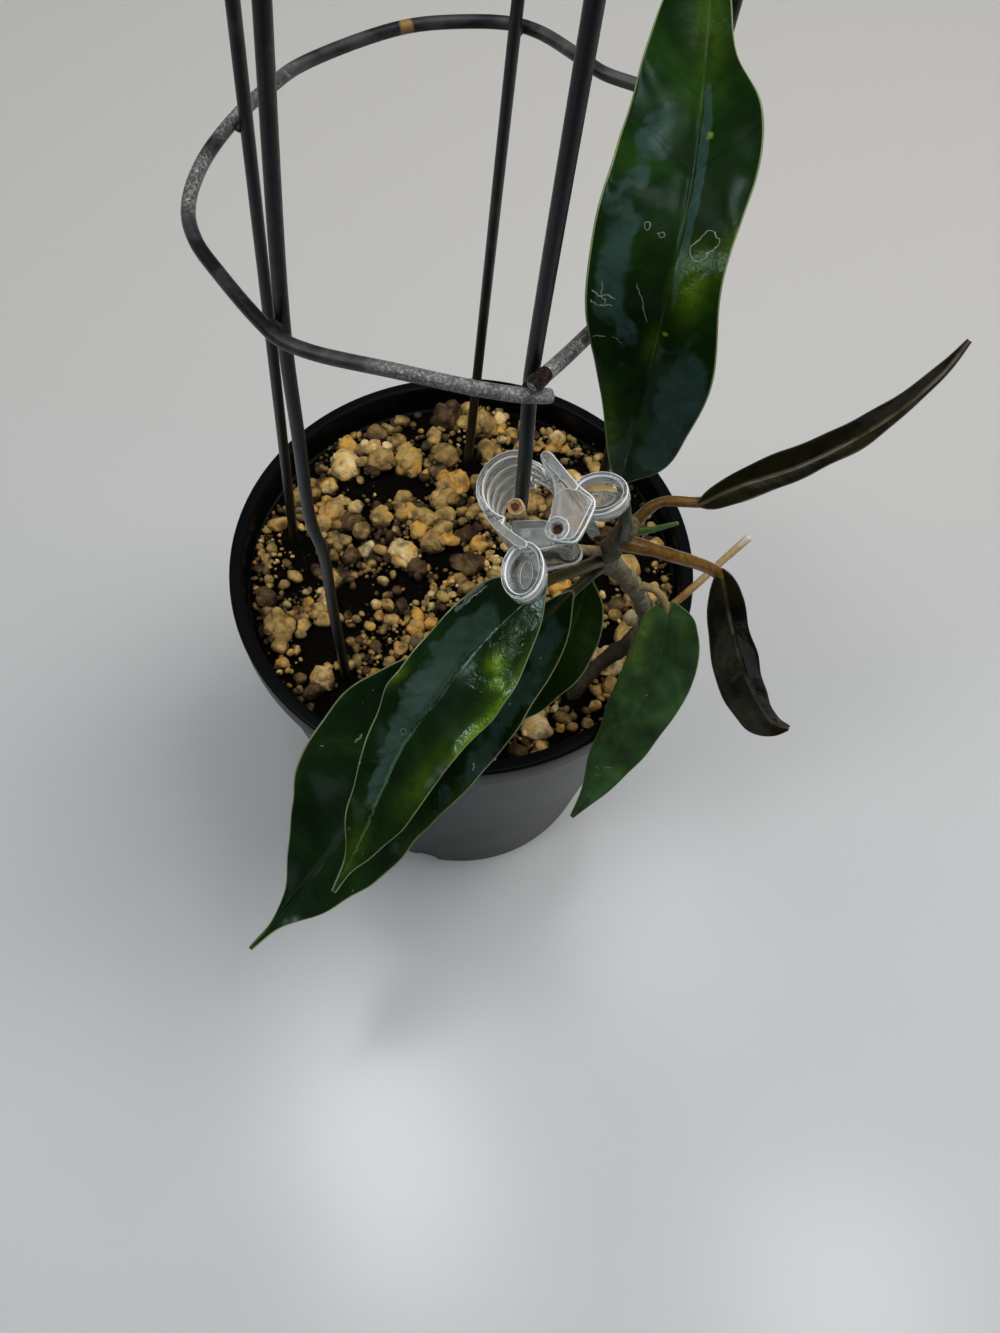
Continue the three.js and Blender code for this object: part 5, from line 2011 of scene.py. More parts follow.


# The blades' blue-grey patches are partly a waxy film, partly a painted reflection.
LEAVES: tuple[Leaf, ...] = (
    Leaf(
        "leaf_upright",
        ((29.9, -37.2, 210), (30.3, -36.4, 222.9), (31.1, -32.8, 240.5), (31.8, -29.2, 248.3),
         (33.3, -17.3, 256.2), (34.2, 1.4, 262.7), (34.1, 12.1, 266.5), (32.1, 24.1, 270.8)),
        ((32.4, -37.9, 195.5), (31.8, -38.9, 203), (29.9, -37.2, 210)),
        (1.5, 1.1), (-0.12, -0.75, 0.64),
        (1.6, 3.6, 5.6, 8.2, 10.8, 12.4, 12.2, 11.2, 10, 8.6, 7, 4.2, 0.5),
        (1.6, 6.8, 8.6, 9.6, 9.2, 6.9, 8, 9.4, 8, 4.6, 3, 1.8, 0.5),
        0.18, 0.8, 4.5, 0.4,
        patches=(
            Patch(0.40, 0.42, 4.5, 2.4, 0.42, 0.2), Patch(0.44, 0.87, 4, 1.6, 0.22),
            Patch(0.30, -0.05, 3, 1.2, 0.2),
            Patch(0.14, -0.85, 9, 1.3, 0.32), Patch(0.80, 0.05, 9, 2.6, 0.2),
            Patch(0.93, 0.5, 9, 2.4, 0.25),
            Patch(0.60, -0.6, 13, 3.2, bloom=0.42), Patch(0.42, -0.72, 13, 3.4, bloom=0.55),
            Patch(0.33, -0.5, 8, 3, bloom=0.35), Patch(0.52, 0.12, 24, 0.75, bloom=0.7),
            Patch(0.24, 0.55, 9, 3.6, bloom=0.75), Patch(0.12, 0.6, 8, 3.2, bloom=0.7),
        ),
        crinkle=0.14, base_round=6, lobes=0.5, keel=0.2,
    ),
    Leaf(
        "leaf_front_upper",
        ((18.9, -46.2, 190), (13.8, -50.8, 186), (6.1, -57.5, 180), (0.4, -64.2, 173),
         (-5.9, -71, 164), (-10.3, -78.6, 154), (-14.1, -85.6, 145), (-19.2, -93.4, 135)),
        ((31.3, -32.6, 179), (25.1, -40.5, 186), (18.9, -46.2, 190)),
        (1.4, 1.1), (0.08, -0.38, 0.92),
        (1.4, 5.6, 9, 10.8, 10.8, 9.8, 9.6, 9, 8, 6.6, 3.8, 1.4, 0.4),
        (2.4, 7.6, 8.4, 8.6, 9.4, 9.2, 7.8, 6.4, 6, 5, 2.8, 1, 0.4),
        0.22, 0.7, 5, 1.1,
        patches=(
            Patch(0.205, -0.45, 2.6, 1.8, 1.0, 0.8), Patch(0.245, -0.72, 2.4, 1.7, 0.9, 0.4),
            Patch(0.14, -0.4, 5.0, 2.6, 0.1, 0.5, crumple=1.0),
            Patch(0.24, -0.6, 5, 3, crumple=0.6), Patch(0.34, -0.95, 12, 1.3, 0.95, 0.15),
            Patch(0.55, -0.75, 12, 2.6, 0.2), Patch(0.37, 0.93, 2.6, 1, 0.5, 0.25),
            Patch(0.86, 0.1, 8, 2, 0.2),
            Patch(0.22, 0.30, 8, 4.2, bloom=0.85), Patch(0.36, 0.24, 8, 4.2, bloom=0.9),
            Patch(0.50, 0.17, 8, 3.4, bloom=0.75), Patch(0.64, 0.13, 8, 2.4, bloom=0.6),
            Patch(0.55, -0.86, 5, 0.8, bloom=0.5), Patch(0.15, -0.5, 5, 2.4, bloom=0.3),
        ),
        crinkle=0.16, base_round=6, lobes=0.5,
    ),
    Leaf(
        "leaf_front_lower",
        ((24.8, -40.8, 178), (17.3, -46.1, 170), (8, -53.4, 161), (-1.7, -60.8, 151),
         (-11.8, -70.4, 140), (-21, -82, 128), (-30.6, -92.6, 118), (-39.6, -101.7, 110)),
        ((31.2, -31.5, 174), (28.4, -36.5, 178), (24.8, -40.8, 178)),
        (1.4, 1.1), (0.09, -0.35, 0.93),
        (1.4, 7.4, 10.2, 12.8, 14.2, 14.6, 14.2, 13.4, 12.4, 9.8, 6.6, 1.8, 0.4),
        (1.4, 2.8, 4, 9.5, 15, 18, 18.6, 17, 14, 9.6, 3.8, 0.9, 0.4),
        0.14, 0.9, 4.5, 2.6,
        patches=(
            Patch(0.5, -0.97, 12, 0.8, 0.15), Patch(0.10, -0.5, 8, 3.6, bloom=0.55),
            Patch(0.22, -0.62, 9, 4, bloom=0.65), Patch(0.34, -0.8, 9, 3.4, bloom=0.55),
            Patch(0.46, -0.86, 8, 3, bloom=0.4), Patch(0.62, -0.8, 10, 2, bloom=0.3),
        ),
        crinkle=0.16, base_round=6, lobes=0.5,
    ),
    Leaf(
        "leaf_small_behind",
        ((28.5, -32.8, 170), (27.6, -36.2, 164), (25.9, -40.3, 157), (22.8, -44.8, 150),
         (18.7, -49.2, 143), (14.2, -53.3, 137)),
        ((34, -29.4, 169), (31.2, -31.4, 172), (28.5, -32.8, 170)),
        (0.9, 0.8), (-0.05, -0.45, 0.89),
        (1.4, 4.6, 6, 6.4, 6, 5.2, 4, 2, 0.4), (1.2, 4.8, 5, 4.4, 3.8, 3.6, 3, 1.8, 0.4),
        0.2, 0.5, 2.5, 0, rows=60, columns=18, patches=(Patch(0.3, -0.4, 9, 4, 0.1),), lobes=1.5,
    ),
    Leaf(
        "leaf_hanging",
        ((47.8, -29.9, 154), (47.8, -35.5, 147), (45.5, -42.7, 138), (41.7, -50, 128),
         (37.3, -57.1, 118), (32.1, -63.9, 110)),
        ((39.5, -25.2, 156.5), (44.3, -26.7, 158), (47.8, -29.9, 154)),
        (1, 0.9), (-0.12, -0.4, 0.91),
        (5.6, 8.2, 8.9, 8.2, 7.2, 6, 4.4, 2.4, 0.4), (4.8, 6.8, 7.4, 7.2, 6.8, 5.8, 4.2, 2, 0.4),
        0.12, 0.5, 2.5, 1.6, rows=60, columns=20,
        patches=(
            Patch(0.10, 0.82, 4.5, 1.8, 0.6), Patch(0.20, 0.75, 4, 2.0, 0.42),
            Patch(0.27, 0.45, 2.6, 1.8, 0.34), Patch(0.42, 0.5, 3.0, 1.6, 0.3),
            Patch(0.36, 0.85, 3, 1.3, 0.3), Patch(0.5, -0.1, 12, 4.5, 0.1),
            Patch(0.05, -0.5, 2.5, 2, 0.2), Patch(0.75, 0.2, 6, 1.6, 0.14),
            Patch(0.55, 0.7, 5, 1.2, 0.2),
        ),
        lobes=3.2, base_round=2.2, glow=0.05, crinkle=0.1,
    ),
    Leaf(
        "leaf_young_long",
        ((46, -34.6, 203), (51.8, -32, 205), (61.9, -28.8, 208), (71.9, -23.5, 211),
         (80.2, -17.6, 214), (86.4, -11.6, 217), (89.5, -7.6, 220)),
        ((33.4, -36.2, 194.4), (38, -33.8, 200.3), (46, -34.6, 203)),
        (1.3, 1), (-0.28, -0.61, 0.74),
        (1.4, 2.6, 3.5, 3.4, 3, 2.6, 2.2, 1.6, 0.4), (1.8, 2.8, 2.4, 2, 2, 1.6, 1, 0.6, 0.4),
        0.75, 0.3, 3, 0.5, rows=60, columns=14, young=True, keel=0.1, base_round=2.2, lobes=1.6,
    ),
    Leaf(
        "leaf_young_short",
        ((53.4, -37.5, 183), (56.2, -43.5, 177), (60.3, -49, 169), (65.2, -52.7, 161),
         (70, -54.6, 155), (74.4, -54.3, 152)),
        ((32.4, -36.4, 190.6), (41, -37.5, 189.6), (53.4, -37.5, 183)),
        (1.8, 1.25), (-0.22, -0.45, 0.87),
        (2.2, 3.4, 3.3, 3.3, 3.2, 2.6, 1.9, 1.5, 0.4), (1.8, 3.9, 4.8, 5.4, 5.9, 5.8, 5, 2.9, 0.5),
        0.6, 0.3, 2, 2, rows=50, columns=14, young=True,
        patches=(
            Patch(0.3, 0.8, 5, 1.4, rise=0.4), Patch(0.55, 0.75, 5, 1.4, rise=-0.35),
            Patch(0.8, 0.6, 4, 1.4, rise=0.4),
        ),
        keel=0.1, base_round=2.6, lobes=2.0,
    ),
)

LEAF_BACK = PlainFlesh("leaf_back", (0.02, 0.05, 0.012), (0.05, 0.10, 0.025), 6, 0.4)
LEAF_RIM = PlainFlesh("leaf_rim", (0.08, 0.10, 0.035), (0.24, 0.27, 0.13), 3, 0.35, 0.03)
YOUNG_BACK = PlainFlesh("young_back", (0.010, 0.007, 0.005), (0.03, 0.022, 0.012), 4, 0.4)
YOUNG_RIM = PlainFlesh("young_rim", (0.012, 0.010, 0.007), (0.04, 0.036, 0.025), 3, 0.4, 0.03)
OLIVE = PlainFlesh("stalk_olive", (0.012, 0.018, 0.005), (0.045, 0.055, 0.016), 2.5, 0.4, 0.1)
BROWN = PlainFlesh("stalk_brown", (0.016, 0.015, 0.004), (0.055, 0.045, 0.013), 2.5, 0.4, 0.1)
BEIGE = PlainFlesh("stalk_beige", (0.20, 0.145, 0.06), (0.40, 0.31, 0.15), 2.5, 0.55, 0.12)
ORANGE = PlainFlesh("stalk_orange", (0.085, 0.038, 0.006), (0.29, 0.15, 0.028), 3.5, 0.22)
AMBER = PlainFlesh("stalk_amber", (0.06, 0.028, 0.005), (0.21, 0.11, 0.022), 3, 0.26, 0.06)
PALE_BARK = PlainFlesh("pale_bark", (0.22, 0.155, 0.08), (0.54, 0.43, 0.27), 1.6, 0.8, 0.25)
DRY_BARK = PlainFlesh("dry_stalk", (0.16, 0.10, 0.04), (0.52, 0.40, 0.20), 2, 0.75, 0.3)
SPROUT_SKIN = PlainFlesh("sprout_skin", (0.04, 0.09, 0.015), (0.13, 0.22, 0.05), 2, 0.45, 0.08)
SPENT_SKIN = PlainFlesh(
    "spent_stalk", (0.22, 0.085, 0.018), (0.52, 0.27, 0.07), 2.5, 0.5, 0.15,
    higher=((0.140, 0.146, (0.50, 0.35, 0.16)), (0.1512, 0.1535, (0.62, 0.60, 0.50))),
)
STALK_SKINS = {
    "leaf_upright": OLIVE, "leaf_front_upper": BROWN, "leaf_front_lower": BROWN,
    "leaf_small_behind": BEIGE, "leaf_hanging": BEIGE,
    "leaf_young_short": ORANGE, "leaf_young_long": AMBER,
}
LEAF_FACES = {
    "leaf_upright": WaxyLeaf("leaf_upright_face", shine=0.12, marks=UPRIGHT_MARKS),
    # A lighter blue-grey here: waxy film with a painted reflection.
    "leaf_front_upper": WaxyLeaf(
        "leaf_upper_face", wax_and_reflection=(0.036, 0.074, 0.056), marks=UPPER_MARKS
    ),
    "leaf_front_lower": WaxyLeaf("leaf_lower_face", marks=LOWER_MARKS),
    "leaf_small_behind": WaxyLeaf(),
    "leaf_hanging": WaxyLeaf(
        "leaf_hanging_face", (0.0065, 0.0200, 0.0060), (0.0170, 0.0500, 0.0140),
        (0.046, 0.110, 0.028), (0.16, 0.27, 0.03), margin=(0.06, 0.10, 0.03), gloss=0.4,
        veined=0.0, clouds=8.0, spread=0.2, marks=HANGING_MARKS,
    ),
    "leaf_young_long": YoungLeaf(), "leaf_young_short": YoungLeaf(),
}


@dataclass
class HoyaPlant:
    """The corky stem with its leaves, its sprout, the spent flower stalk and the dry stick."""

    path: tuple[Point, ...] = (
        (27.5, -35.5, 84), (31.3, -32, 114), (36.9, -26.1, 119.4), (42.8, -23, 125.8),
        (46.2, -21, 133), (43, -22.4, 146), (39.3, -25.3, 157), (34.9, -28.6, 168),
        (31.4, -32.3, 178), (31.6, -35, 187), (33.2, -37.3, 197.5),
    )
    radii: tuple[float, ...] = (1.7, 1.8, 1.8, 1.9, 2.3, 2, 2, 2.1, 2.3, 1.9, 2.1)
    nodes: tuple[float, ...] = (0.36, 0.52, 0.66, 0.80, 0.90)
    swelling: float = 0.4
    knob: Point = (42.8, -19.2, 131.6)
    knob_radius: float = 2.0
    neck: tuple[Point, ...] = ((46, -21, 132.5), (42.6, -19.2, 131.6))
    nubs: tuple[tuple[Point, ...], ...] = (
        ((31.4, -32.3, 177), (29.2, -32.7, 178.4), (27.4, -33, 180.5)),
        ((31.6, -34, 184), (33.8, -33.8, 184.6), (35.6, -33.4, 185.8)),
    )
    nub_radii: tuple[tuple[float, ...], ...] = ((1.1, 0.8, 0.35), (1, 0.75, 0.35))
    spent: tuple[Point, ...] = (
        (46.4, -21, 134.5), (51.2, -18.4, 137.5), (55.1, -16.2, 142), (60.9, -11.9, 148),
        (66.4, -7.7, 153),
    )
    sprout: tuple[Point, ...] = ((33, -37.3, 194.8), (37.4, -38.4, 198.6), (41.2, -39, 202))
    beside_pin: Flat = (-7.2, 3.6)
    stick_runs: tuple[float, ...] = (-2.4, -5, -13, -21)
    stick_foot: Point = (31.5, -34, 183)
    cut_radius: float = 1.42
    cut_length: float = 1.7
    cut_start: float = -1.9
    cut_rings: tuple[Flat, ...] = ((0.28, 0.12), (0.3, -0.25), (0.34, -0.2), (0.25, 0.05))

    def corked(self, piece: Piece, size: float, depth: float) -> Piece:
        """Roughens a round piece like bark.

        Args:
            piece: The piece.
            size: The size of the lumps in millimetres.
            depth: Their height in millimetres.

        Returns:
            The piece.
        """
        texture = bpy.data.textures.new("cork", "CLOUDS")
        texture.noise_scale = size * MM
        texture.noise_depth = 3
        Bench.modify(
            piece, "DISPLACE", texture=texture, texture_coords="LOCAL",
            strength=depth * MM, mid_level=0.5,
        )
        Bench.smooth(piece)
        return piece

    def stem(self) -> list[Piece]:
        """Draws the stem with its swollen nodes, the knob and the nubs.

        Returns:
            The stem, the knob, the knob's neck and the two nubs.
        """
        path, radii = evenly(self.path, 230, self.radii)
        height = np.linspace(0, 1, len(path))
        for node in self.nodes:
            radii = radii + self.swelling * np.exp(-(((height - node) / 0.012) ** 2))
        stem = Bench.tube(path, radii, 28)
        Bench.clear()
        bpy.ops.mesh.primitive_ico_sphere_add(
            subdivisions=4, radius=self.knob_radius * MM, location=tuple(k * MM for k in self.knob)
        )
        knob = bpy.context.object
        Bench.settle(knob)
        neck = self.twig(self.neck, (2.0, 1.6))
        nubs = [self.twig(path, radii) for path, radii in zip(self.nubs, self.nub_radii)]
        return [self.corked(piece, 1.6, 0.7) for piece in (stem, knob, neck, *nubs)]

    def twig(self, path: Sequence[Point], radii: Sequence[float], count: int = 40) -> Piece:
        """Draws a short tapered piece through the given points."""
        return Bench.tube(*evenly(path, count, radii))

    def build(self) -> None:
        """Builds the plant from the stem out."""
        bark = Bark().build()
        stem, knob, neck, *nubs = self.stem()
        Bench.hand_over(stem, "main_stem_bark", Slot.BARK, [bark], ["main_stem"])
        pale = PALE_BARK.build()
        knob = Bench.join([knob, neck])
        Bench.hand_over(knob, "main_stem_knob", Slot.BARK, [pale], ["main_stem"])
        Bench.hand_over(Bench.join(nubs), "main_stem_nubs", Slot.BARK, [bark], ["main_stem"])
        grown = (LEAF_BACK.build(), LEAF_RIM.build())
        young = (YOUNG_BACK.build(), YOUNG_RIM.build())
        made: dict[object, Material] = {}
        for leaf in LEAVES:
            finishes = (LEAF_FACES[leaf.node], STALK_SKINS[leaf.node])
            face, stalk = (made.get(one) or made.setdefault(one, one.build()) for one in finishes)
            leaf.build(LeafSkins(face, *(young if leaf.young else grown)), stalk)
        self.build_twigs()

    def build_twigs(self) -> None:
        """Builds the spent flower stalk, the sprout and the dry stick."""
        spent = self.corked(self.twig(self.spent, (0.95, 0.9, 0.9, 0.85, 0.95), 120), 0.8, 0.2)
        amber = SPENT_SKIN.build()
        Bench.hand_over(
            spent, "spent_flower_stalk_skin", Slot.STALK, [amber], ["spent_flower_stalk"]
        )
        sprout = self.twig(self.sprout, (0.8, 0.6, 0.35), 60)
        Bench.hand_over(sprout, "sprout_skin", Slot.SPROUT, [SPROUT_SKIN.build()], ["sprout"])
        clip = SprungClip()
        along = [clip.placed((*self.beside_pin, w)) for w in self.stick_runs]
        stick = self.twig([*along, self.stick_foot], (1.25, 0.98, 0.95, 0.95, 1.0), 110)
        stick = self.corked(stick, 0.9, 0.28)
        Bench.hand_over(stick, "dry_stick_skin", Slot.STALK, [DRY_BARK.build()], ["dry_stick"])
        self.cut_end(clip.matrix())

    def cut_end(self, at: Matrix) -> None:
        """Makes the ragged cut of the dry stick: a dished disc with a raised edge.

        Args:
            at: The clip's place, whose pin the stick runs beside.
        """
        Bench.clear()
        bpy.ops.mesh.primitive_circle_add(
            vertices=40, radius=self.cut_radius * MM, fill_type="NGON"
        )
        disc = bpy.context.object
        length = {"value": (0, 0, self.cut_length * MM)}
        with Bench.editing(disc):
            bpy.ops.mesh.extrude_region_move(TRANSFORM_OT_translate=length)
            for thickness, depth in self.cut_rings:
                bpy.ops.mesh.inset(thickness=thickness * MM, depth=depth * MM)
        points = Bench.points(disc)
        flat = np.hypot(points[:, 0], points[:, 1]) / MM
        ragged = points[:, 2] > 1.3 * MM
        points[:, 2] += ripple(points / MM, 1.1, 61) * 0.12 * MM * ragged
        points[:, :2] *= 1 + 0.06 * ripple(points[:, :2] / MM, 1.5, 62)[:, None]
        Bench.place(disc, points)
        Bench.mark(disc, "from_pith", np.clip(flat / self.cut_radius, 0, 1))
        Bench.tidy(disc)
        Bench.smooth(disc, 40)
        start = Vector((*self.beside_pin, self.cut_start)) * MM
        disc.matrix_world = at @ Matrix.Translation(start)
        wood = CutWood().build()
        Bench.hand_over(disc, "dry_stick_cut_end", Slot.STALK, [wood], ["dry_stick"])


# ---------------------------------------------------------------- clip


@dataclass(frozen=True)
class Oval:
    """An oval finger tab in the clip's own plane."""

    centre: Flat
    length: float
    width: float
    turn: float


class JawSkin(Enum):
    """The looks of the plastic on one jaw, in slot order."""

    CLEAR = ClearPlastic("clear_plastic", 0.04, 0.06)
    WALL = ClearPlastic("wall_plastic", 0.3, 0.12)
    # Near-white rounded edges: partly milky plastic, partly a painted highlight for the light that
    # clear edges catch.
    EDGE = ClearPlastic("highlit_edge_plastic", 0.95, 0.3)
    FROSTED = ClearPlastic("frosted_plastic", 0.14, 0.24)


@dataclass
class SprungClip:
    """The clear plant clip: two ribbed jaws on a pin, closed by a coil spring."""

    origin: Point = (19.18, -51.52, 215.98)
    axis: Point = (-0.2249, -0.2789, 0.9336)
    length: float = 18.0
    plate: float = 2.0
    side_gap: float = 0.4
    ring_centre: Flat = (-7.8, 7.1)
    ring_inner: float = 5.2
    ring_outer: float = 6.5
    rib_width: float = 1.8
    rib_inset: float = 0.4
    rib_bevel: float = 0.42
    ribs_each: int = 5
    moving_ring: Flat = (86, 258)
    fixed_ring: Flat = (30, 82)
    web_span: Flat = (-17.5, -0.5)
    web_bevel: float = 0.12
    arm_width: float = 1.8
    arm_boss: float = 2.1
    plate_start: float = -0.35
    beam_span: Flat = (-1.9, -0.05)
    boss_span: Flat = (-1.8, -0.15)
    pin_boss: float = 2.05
    pin_boss_span: Flat = (-1.9, 0)
    bore: float = 1.05
    bore_length: float = 24.0
    coil: float = 1.5
    coil_wire: float = 0.32
    coil_span: Flat = (-5.2, -12.8)
    coil_turns: int = 5
    pin_radius: float = 0.75
    pin_span: Flat = (-17.4, -0.9)
    tab_far: float = -5.6
    tab_near: float = -1.4
    moving_tab: Oval = Oval((-5.5, -6.7), 4.9, 3.6, 87)
    fixed_tab: Oval = Oval((6.1, 6.5), 4.9, 3.7, 10)
    arm: tuple[Flat, ...] = (
        (-8.6, 1.9), (-8.2, 0.2), (-6, -3.6), (-1.2, -2.5), (1, -1.8), (1.4, 1), (0, 2.1),
        (-4, 2.1),
    )
    spine: tuple[Flat, ...] = (
        (-13, 3.2), (-11, 0.3), (-7.9, -2.2), (-5.4, -3.6), (-4.5, -2.5), (-7.3, -0.7),
        (-9.8, 1.2), (-11.8, 3.6),
    )
    bar: tuple[Flat, ...] = ((-8.6, 1.9), (-8.4, 0.9), (-2.6, 1.2), (-2.6, 2.1))
    end_plate: tuple[Flat, ...] = (
        (-1.2, 3.4), (-1.9, 0.8), (-1.5, -1.4), (0, -2.1), (1.9, -2.3), (3.3, -2.2), (4.7, 0.6),
        (6, 4), (5.7, 5.5), (2.7, 7.7), (0.3, 10.4), (-2.1, 13.3), (-3.2, 13.5), (-4.1, 12.7),
        (-3.1, 10.6), (-1.6, 8.8), (-0.9, 6.4),
    )
    wall: tuple[Flat, ...] = (
        (-3.4, 2.8), (-2.2, 2.8), (-1.5, 8.8), (-2.2, 13.1), (-3.2, 13.4), (-4, 12.6), (-3, 10.5),
    )
    web: tuple[Flat, ...] = (
        (-2.2, 13.1), (-2.6, 11.4), (-0.4, 8.4), (1.6, 5.6), (2.9, 3.6), (4.6, 4.4), (2.6, 7.6),
    )
    beam: tuple[Flat, ...] = (
        (-3.9, 12.5), (-3.3, 13.3), (-2.2, 13.2), (3.2, 7.2), (2.2, 6.1), (-2.9, 11.2),
    )
    boss: tuple[Flat, ...] = (
        (-1.0, 5.8), (0.4, 6.8), (2.4, 6.9), (5.6, 4.9), (5.2, 3.9), (2.9, -1.6), (0.5, -1.9),
        (-1.5, -0.9), (-1.3, 2.6),
    )

    def matrix(self) -> Matrix:
        """Places the clip: its pin runs along the third axis from its near end.

        Returns:
            The clip's place in metres.
        """
        w = Vector(self.axis).normalized()
        u = (Vector((1, 0, 0)) - w * w.x).normalized()
        v = w.cross(u)
        turned = Matrix((u, v, w)).transposed().to_4x4()
        return Matrix.Translation(Vector(self.origin) * MM) @ turned

    def placed(self, point: Point) -> Point:
        """Gives where a point of the clip's own frame lies, in millimetres."""
        return tuple(np.array(self.matrix() @ (Vector(point) * MM)) / MM)

    def slab(
        self,
        outline: Sequence[Flat],
        low: float,
        high: float,
        bevel: float = 0.18,
        hole: Sequence[Flat] = (),
    ) -> Piece:
        """Makes a plate of an outline with softened edges.

        Args:
            outline: The outline's corners.
            low: Where the plate starts along the pin.
            high: Where it ends.
            bevel: How far its edges are rounded.
            hole: The corners of a hole through it.

        Returns:
            The plate.
        """
        Bench.clear()
        bpy.ops.curve.primitive_bezier_circle_add()
        piece = bpy.context.object
        curve = piece.data
        curve.splines.clear()
        for ring in (outline, hole):
            if len(ring) == 0:
                continue
            spline = curve.splines.new("POLY")
            spline.points.add(len(ring) - 1)
            for point, (x, y) in zip(spline.points, ring):
                point.co = (x * MM, y * MM, 0, 1)
            spline.use_cyclic_u = True
        curve.dimensions = "2D"
        curve.fill_mode = "BOTH"
        curve.extrude = ((high - low) / 2 - bevel) * MM
        curve.bevel_depth = bevel * MM
        curve.bevel_resolution = 2
        curve.offset = -bevel * MM
        Bench.pick(piece)
        bpy.ops.object.convert(target="MESH")
        piece.location = (0, 0, (low + high) / 2 * MM)
        Bench.settle(piece)
        Bench.tidy(piece)
        return piece

    @staticmethod
    def soft(outline: Sequence[Flat]) -> list[Flat]:
        """Rounds the corners of a closed outline."""
        closed = [outline[-1], *outline, outline[0]]
        return rounded(closed, 0.9)[1:-1]

    def arc(self, start: float, end: float) -> list[Flat]:
        """Draws the outline of a piece of the ring.

        Args:
            start: Where it starts, in degrees.
            end: Where it ends.

        Returns:
            The outline.
        """
        angles = np.radians(np.linspace(start, end, 40))
        outer = on_circle(self.ring_outer, angles, self.ring_centre)
        return outer + on_circle(self.ring_inner, angles[::-1], self.ring_centre)

    def ribs(self, start: float, end: float) -> list[Piece]:
        """Makes the ribs of one jaw.

        Args:
            start: Where their ring starts, in degrees.
            end: Where it ends.

        Returns:
            The ribs.
        """
        first = -self.rib_inset - self.rib_width
        last = -self.length + self.rib_inset
        outline = self.arc(start, end)
        return [
            self.slab(outline, low, low + self.rib_width, self.rib_bevel)
            for low in np.linspace(first, last, self.ribs_each)
        ]

    def oval(self, tab: Oval, inset: float) -> list[Flat]:
        """Draws the outline of a tab, pulled in by an inset.

        Args:
            tab: The tab.
            inset: How far the outline is pulled in.

        Returns:
            The outline.
        """
        turn = math.radians(tab.turn)
        cos, sin = math.cos(turn), math.sin(turn)
        outline = []
        for a in np.linspace(0, FULL_TURN, 48, endpoint=False):
            x, y = (tab.length - inset) * math.cos(a), (tab.width - inset) * math.sin(a)
            outline.append((tab.centre[0] + x * cos - y * sin, tab.centre[1] + x * sin + y * cos))
        return outline

    def finger_tab(self, tab: Oval) -> list[Piece]:
        """Makes a tab: a shallow oval tray with a fine oval line raised on its floor."""
        floor = self.tab_far + 1
        tray = (self.oval(tab, 0), self.oval(tab, 0.9)[::-1])
        line = (self.oval(tab, 2.4), self.oval(tab, 2.75)[::-1])
        return [
            self.slab(tray[0], self.tab_far, self.tab_near, 0.34, tray[1]),
            self.slab(self.oval(tab, 0.5), self.tab_far, floor, 0.1),
            self.slab(line[0], floor - 0.3, floor + 0.35, 0.08, line[1]),
        ]

    def disc(self, radius: float, low: float, high: float, bevel: float = 0.18) -> Piece:
        """Makes a round boss about the pin."""
        ring = on_circle(radius, np.linspace(0, FULL_TURN, 40, endpoint=False))
        return self.slab(ring, low, high, bevel)

    def united(self, pieces: Sequence[Piece]) -> Piece:
        """Unites plates into one solid, bores the pin hole and puts it in its place.

        Args:
            pieces: The plates.

        Returns:
            The jaw.
        """
        jaw = pieces[0]
        for piece in pieces[1:]:
            Bench.combine(jaw, piece, Boolean.UNITE)
        Bench.clear()
        bpy.ops.mesh.primitive_cylinder_add(
            vertices=40, radius=self.bore * MM, depth=self.bore_length * MM,
            location=(0, 0, -self.length / 2 * MM),
        )
        Bench.combine(jaw, bpy.context.object, Boolean.CUT)
        Bench.tidy(jaw)
        skins = list(JawSkin)
        for skin in skins:
            jaw.data.materials.append(skin.value.build())
        for face in jaw.data.polygons:
            face.material_index = skins.index(self.skin(face))
        jaw.matrix_world = self.matrix()
        Bench.settle(jaw)
        Bench.smooth(jaw, 30)
        return jaw

    def skin(self, face: bpy.types.MeshPolygon) -> JawSkin:
        """Picks the look of one face of a jaw by the way that it faces and where it lies.

        Args:
            face: The face, before the jaw is put in its place.

        Returns:
            Its look.
        """
        slope, level = abs(face.normal.z), face.center.z / MM
        if slope <= 0.08:
            return JawSkin.WALL
        # Slanted faces are the rounded edges: near white, partly a painted highlight.
        if slope < 0.92:
            return JawSkin.EDGE
        off_ring = (Vector(face.center[:2]) / MM - Vector(self.ring_centre)).length
        near_end = level > -0.3 or -0.45 < level < -0.38
        if face.normal.z > 0 and off_ring > self.ring_outer and near_end:
            return JawSkin.FROSTED
        return JawSkin.CLEAR

    def moving_jaw(self) -> Piece:
        """Builds the jaw that swings.

        Returns:
            The jaw.
        """
        near = -self.plate - self.side_gap
        far = -self.length - near
        pieces = [
            self.slab(self.soft(self.spine), -self.length + self.rib_inset, -self.rib_inset),
            *self.ribs(*self.moving_ring),
        ]
        sides = ((near - self.arm_width, near), (far, far + self.arm_width))
        pieces += [self.slab(self.soft(self.arm), low, high, 0.4) for low, high in sides]
        pieces.append(self.slab(self.bar, far, near, self.web_bevel))
        pieces += [self.disc(self.arm_boss, low, high) for low, high in sides]
        return self.united(pieces + self.finger_tab(self.moving_tab))

    def fixed_jaw(self) -> Piece:
        """Builds the jaw that grips the wire.

        Returns:
            The jaw.
        """
        plate = self.soft(self.end_plate)
        return self.united([
            self.slab(self.wall, *self.web_span, self.web_bevel),
            *self.ribs(*self.fixed_ring),
            self.slab(plate, -self.plate, self.plate_start, 0.42),
            self.slab(plate, -self.length, -self.length + self.plate, 0.4),
            self.slab(self.soft(self.beam), *self.beam_span, 0.3),
            self.slab(self.soft(self.boss), *self.boss_span, 0.2),
            self.disc(self.pin_boss, *self.pin_boss_span, 0.3),
            self.slab(self.web, *self.web_span, self.web_bevel),
            *self.finger_tab(self.fixed_tab),
        ])

